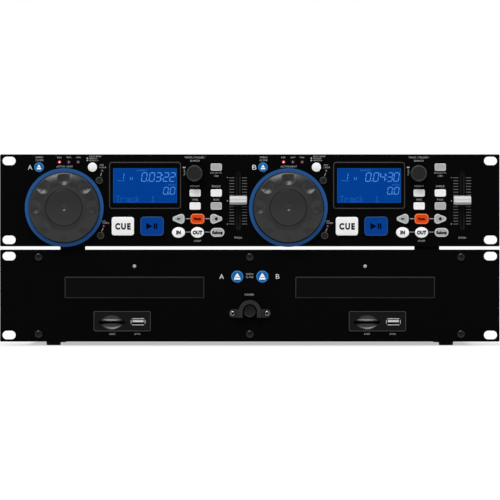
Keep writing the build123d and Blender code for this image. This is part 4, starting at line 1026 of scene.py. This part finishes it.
def data_socket(piece, x, z):
    """Folded lips of the socket's metal shell, and its tongue."""
    for side in (-1, 1):
        for low, high, width in ((-6.0, 0.6, 0.75), (0.6, 0.75, 0.4)):
            piece.dash(x, z + side * 2.95, 5.7, 0, width, low, high, BRIGHT)
            piece.dash(x + side * 6.7, z, 0, 1.8, width * 0.8, low, high, BRIGHT)
    piece.plate(rounded(10.6, 1.8, 0.2), x, z + 0.6, -6.0, 0.1, TONGUE)


def player_front():
    """Trim of the port plates: raised rims, whose lighter grey is a painted highlight on their edges, card
    dips and data sockets.
    """
    rims, ports = Piece("port_rims"), Piece("port_fittings")
    for side in (-1, 1):
        x, z = side * PORT_X, PLAYER_Z + PORT_Z
        levels = [(0.02, 0.2), (0.02, 0.8), (-0.15, 0.95), (-0.55, 0.95), (-0.75, 0.85), (-0.75, 0.2)]
        rims.hoop(rounded(PORT_W, PORT_H, PORT_CORNER), levels, x, z, FITTING_EDGE_HIGHLIGHT)
        card_dip(ports, x + CARD_X, z + CARD_Z)
        data_socket(ports, x + DATA_X, z + DATA_Z)
    rims.make("dark_plastic")
    ports.make("dark_plastic")


def tray_door_highlight(deck, side):
    """Painted highlight: a bright line round the bevelled edge of a tray's door."""
    low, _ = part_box(f"disc_tray_{deck}")
    out = (FACE_Y - low.y) / MM
    piece = Piece(f"disc_tray_{deck}_door_edge_highlight", f"disc_tray_{deck}")
    levels = [(0.03, out - 0.9), (0.03, out - 0.75), (-0.75, out + 0.03), (-0.95, out + 0.03),
              (-0.95, out - 0.2)]
    piece.hoop(rounded(DOOR_W, DOOR_H, 0.3), levels, side * TRAY_X, PLAYER_Z + TRAY_Z, TRAY_EDGE_HIGHLIGHT)
    piece.make("tray_plastic")


def player_print():
    piece = Piece("player_print")
    for words, x, z, height, width, material in (
            ("A", -27.2, 18.6, 4.7, 4.2, PRINT), ("B", 26.7, 18.6, 4.7, 3.4, PRINT),
            ("OPEN/", -0.3, 20.7, 1.6, 7.2, INK), ("CLOSE", -0.3, 17.9, 1.6, 7.2, INK),
            ("POWER", -0.4, 1.0, 1.9, 8.8, INK),
            ("CARD", -133.0, -37.0, 1.6, 5.6, INK), ("DATA", -108.5, -37.0, 1.6, 5.6, INK),
            ("CARD", 113.3, -37.0, 1.6, 5.6, INK), ("DATA", 138.1, -37.0, 1.6, 5.6, INK)):
        piece.write(words, x, PLAYER_Z + z, height, material, width=width)
    piece.make("white_key")


player_front()
tray_door_highlight("a", -1)
tray_door_highlight("b", 1)
player_print()


# ---- rear sockets
JACKS_X, JACKS_Z = 120.0, 10.0  # middle of a deck's pair of audio jacks
JACK_X, JACK_DROP = 7.0, 14.0  # from there to each jack, and down to the digital one
LINK_X = 60.0
LINK_PINS = 8  # places round the socket, of which one is left out
INLET_PINS = ((-7.0, -2.2), (0.0, 2.2), (7.0, -2.2))


def phono(piece, x, z, colour):
    """Metal sleeve of a phono socket, with its coloured ring on the wall."""
    piece.hoop(hull((0, 0, 4.35)), [(0.0, 0.0), (0.0, 8.7), (-0.1, 8.85), (-0.12, 0.0)], x, z, BRIGHT)
    collar = [(0.0, 0.0), (0.0, 0.7), (-0.25, 0.95), (-1.4, 0.95), (-1.4, 0.0)]
    piece.hoop(hull((0, 0, 5.9)), collar, x, z, colour)


def link(piece, x, z):
    """Round socket with its metal ring and pin holes."""
    shell = [(0.7, 0.0), (0.7, 0.25), (0.0, 0.3), (-0.1, -1.1), (0.0, -1.1)]
    piece.hoop(hull((0, 0, 4.7)), shell, x, z, BRIGHT)
    for nx, nz in directions(LINK_PINS)[:-1]:
        piece.plate(hull((0, 0, 0.4)), x + 2.4 * nx, z + 2.4 * nz, -1.3, -1.12, BRIGHT)


def rear():
    """Trim of the sockets in both rear walls, and their labels."""
    piece = Piece("rear_socket_trim", place=on_back(PLAYER_BACK))
    words = Piece("rear_print", place=on_back(PLAYER_BACK))
    for side in (-1, 1):
        x, z = side * JACKS_X, PLAYER_Z + JACKS_Z
        phono(piece, x - JACK_X, z, WHITE_MARK)
        phono(piece, x + JACK_X, z, RED_MARK)
        phono(piece, x, z - JACK_DROP, ORANGE_MARK)
        link(piece, side * LINK_X, z)
        for label, dx, dz, height in (("L", -JACK_X, 9.0, 2.6), ("R", JACK_X, 9.0, 2.6),
                                      ("ANALOG OUT", 0.0, 14.0, 2.4), ("DIGITAL OUT", 0.0, -23.0, 2.4)):
            words.write(label, x + dx, z + dz, height)
        words.write("LINK", side * LINK_X, z + 12.0, 2.4)
        words.write("AB"[side < 0], x, z + 20.0, 4.0, PRINT)
    for x, z in INLET_PINS:
        piece.dash(x, PLAYER_Z + z, 0, 2.05, 2.1, -17.0, -3.15, BRIGHT)
    words.write("AC IN", 0.0, PLAYER_Z + 16.5, 2.4)
    piece.place = words.place = on_back(CONTROL_BACK)
    for side in (-1, 1):
        link(piece, side * LINK_X, CONTROL_Z)
        words.write("LINK", side * LINK_X, CONTROL_Z + 12.0, 2.4)
    piece.make("socket_metal")
    words.make("white_key")


rear()


# ---- camera, light and ground
FLOOR_GLOW = 0.5  # share of the floor's white that shadows don't take
WORLD_LIGHT = 0.6  # share of the world's white that falls as light
FRONT_GLOSS = 0.4  # brightness, in glosses, of the studio's side in front of the panels
FRONT_FROM, FRONT_TO = -0.35, -0.92  # the directions' Y between which it gets there


def seen_ray(tree):
    """1 for what is seen straight, in a gloss or through glass, and 0 for light that falls."""
    seen = shading(tree, "LightPath", "Is Camera Ray")
    for kind in ("Is Glossy Ray", "Is Transmission Ray"):
        seen = maths(tree, "MAXIMUM", seen, shading(tree, "LightPath", kind))
    return seen


def sunlight(name, elevation, azimuth, strength, softness):
    """Wide soft light that is as strong everywhere; azimuth 0 is in front of the panels."""
    light = put(bpy.data.lights.new(name, "SUN"), energy=strength, angle=radians(softness))
    up, turn = radians(elevation), radians(azimuth)
    towards = Vector((sin(turn) * cos(up), -cos(turn) * cos(up), sin(up)))
    in_scene(name, light).rotation_euler = towards.to_track_quat("Z", "Y").to_euler()


def floor_finish():
    """Matt pale floor that lets part of its white through in the shadows, where it is seen."""
    material = finish("floor_paint", srgb(176, 176, 176), 0.9, vary=0.004, bump=0.0, Specular_IOR_Level=0.0)
    tree = material.node_tree
    strength = maths(tree, "MULTIPLY", seen_ray(tree), FLOOR_GLOW)
    glow = shading(tree, "Emission", "Emission", {"Strength": strength})
    both = shading(tree, "AddShader", "Shader", {0: tree.nodes["Principled BSDF"].outputs["BSDF"], 1: glow})
    tree.links.new(both, tree.nodes["Material Output"].inputs["Surface"])
    return material


def ground():
    """Pale floor that meets the pale backdrop of the world."""
    mesh = bpy.data.meshes.new("floor")
    half = 40.0
    corners = [(-half, -half, 0), (half, -half, 0), (half, half, 0), (-half, half, 0)]
    mesh.from_pydata(corners, [], [(0, 1, 2, 3)])
    mesh.materials.append(floor_finish())
    in_scene("floor", mesh)


def backdrop():
    """World that is white where it is seen, straight or in a gloss, and softer as light.

    Only the side of the studio that the panels face is darker in their gloss."""
    world = bpy.data.worlds.new("studio")
    bpy.context.scene.world = world
    world.use_nodes = True
    tree = world.node_tree
    sockets = tree.nodes["Background"].inputs
    sockets["Color"].default_value = (1, 1, 1, 1)
    strength = shading(tree, "MapRange", "Result", {
        "Value": seen_ray(tree), "To Min": WORLD_LIGHT, "To Max": 1.0})
    towards = shading(tree, "SeparateXYZ", "Y", {"Vector": shading(tree, "TexCoord", "Generated")})
    side = shading(tree, "MapRange", "Result", {
        "Value": towards, "From Min": FRONT_FROM, "From Max": FRONT_TO, "To Min": 0.0,
        "To Max": 1 - FRONT_GLOSS}, interpolation_type="SMOOTHSTEP")
    dim = maths(tree, "MULTIPLY", side, shading(tree, "LightPath", "Is Glossy Ray"))
    tree.links.new(maths(tree, "SUBTRACT", strength, dim), sockets["Strength"])


def camera():
    """Long lens square to the front, as far away as makes the panels fill the frame's width."""
    distance, sensor, seen_width = 6.0, 36.0, 483.0
    beside, above = 0.0002, 0.0922  # the lens, from the middle and from the ground
    lens = put(bpy.data.cameras.new("camera"), sensor_width=sensor,
               lens=sensor * distance / (seen_width * MM), clip_start=0.5, clip_end=100.0)
    holder = in_scene("camera", lens)
    holder.location = (beside, FACE_Y - distance, above)
    holder.rotation_euler = (pi / 2, 0, 0)
    bpy.context.scene.camera = holder


sunlight("key", elevation=52, azimuth=-12, strength=2.22, softness=32)
sunlight("fill", elevation=50, azimuth=155, strength=0.8, softness=60)
ground()
backdrop()
camera()
bpy.context.scene.view_settings.view_transform = "Standard"
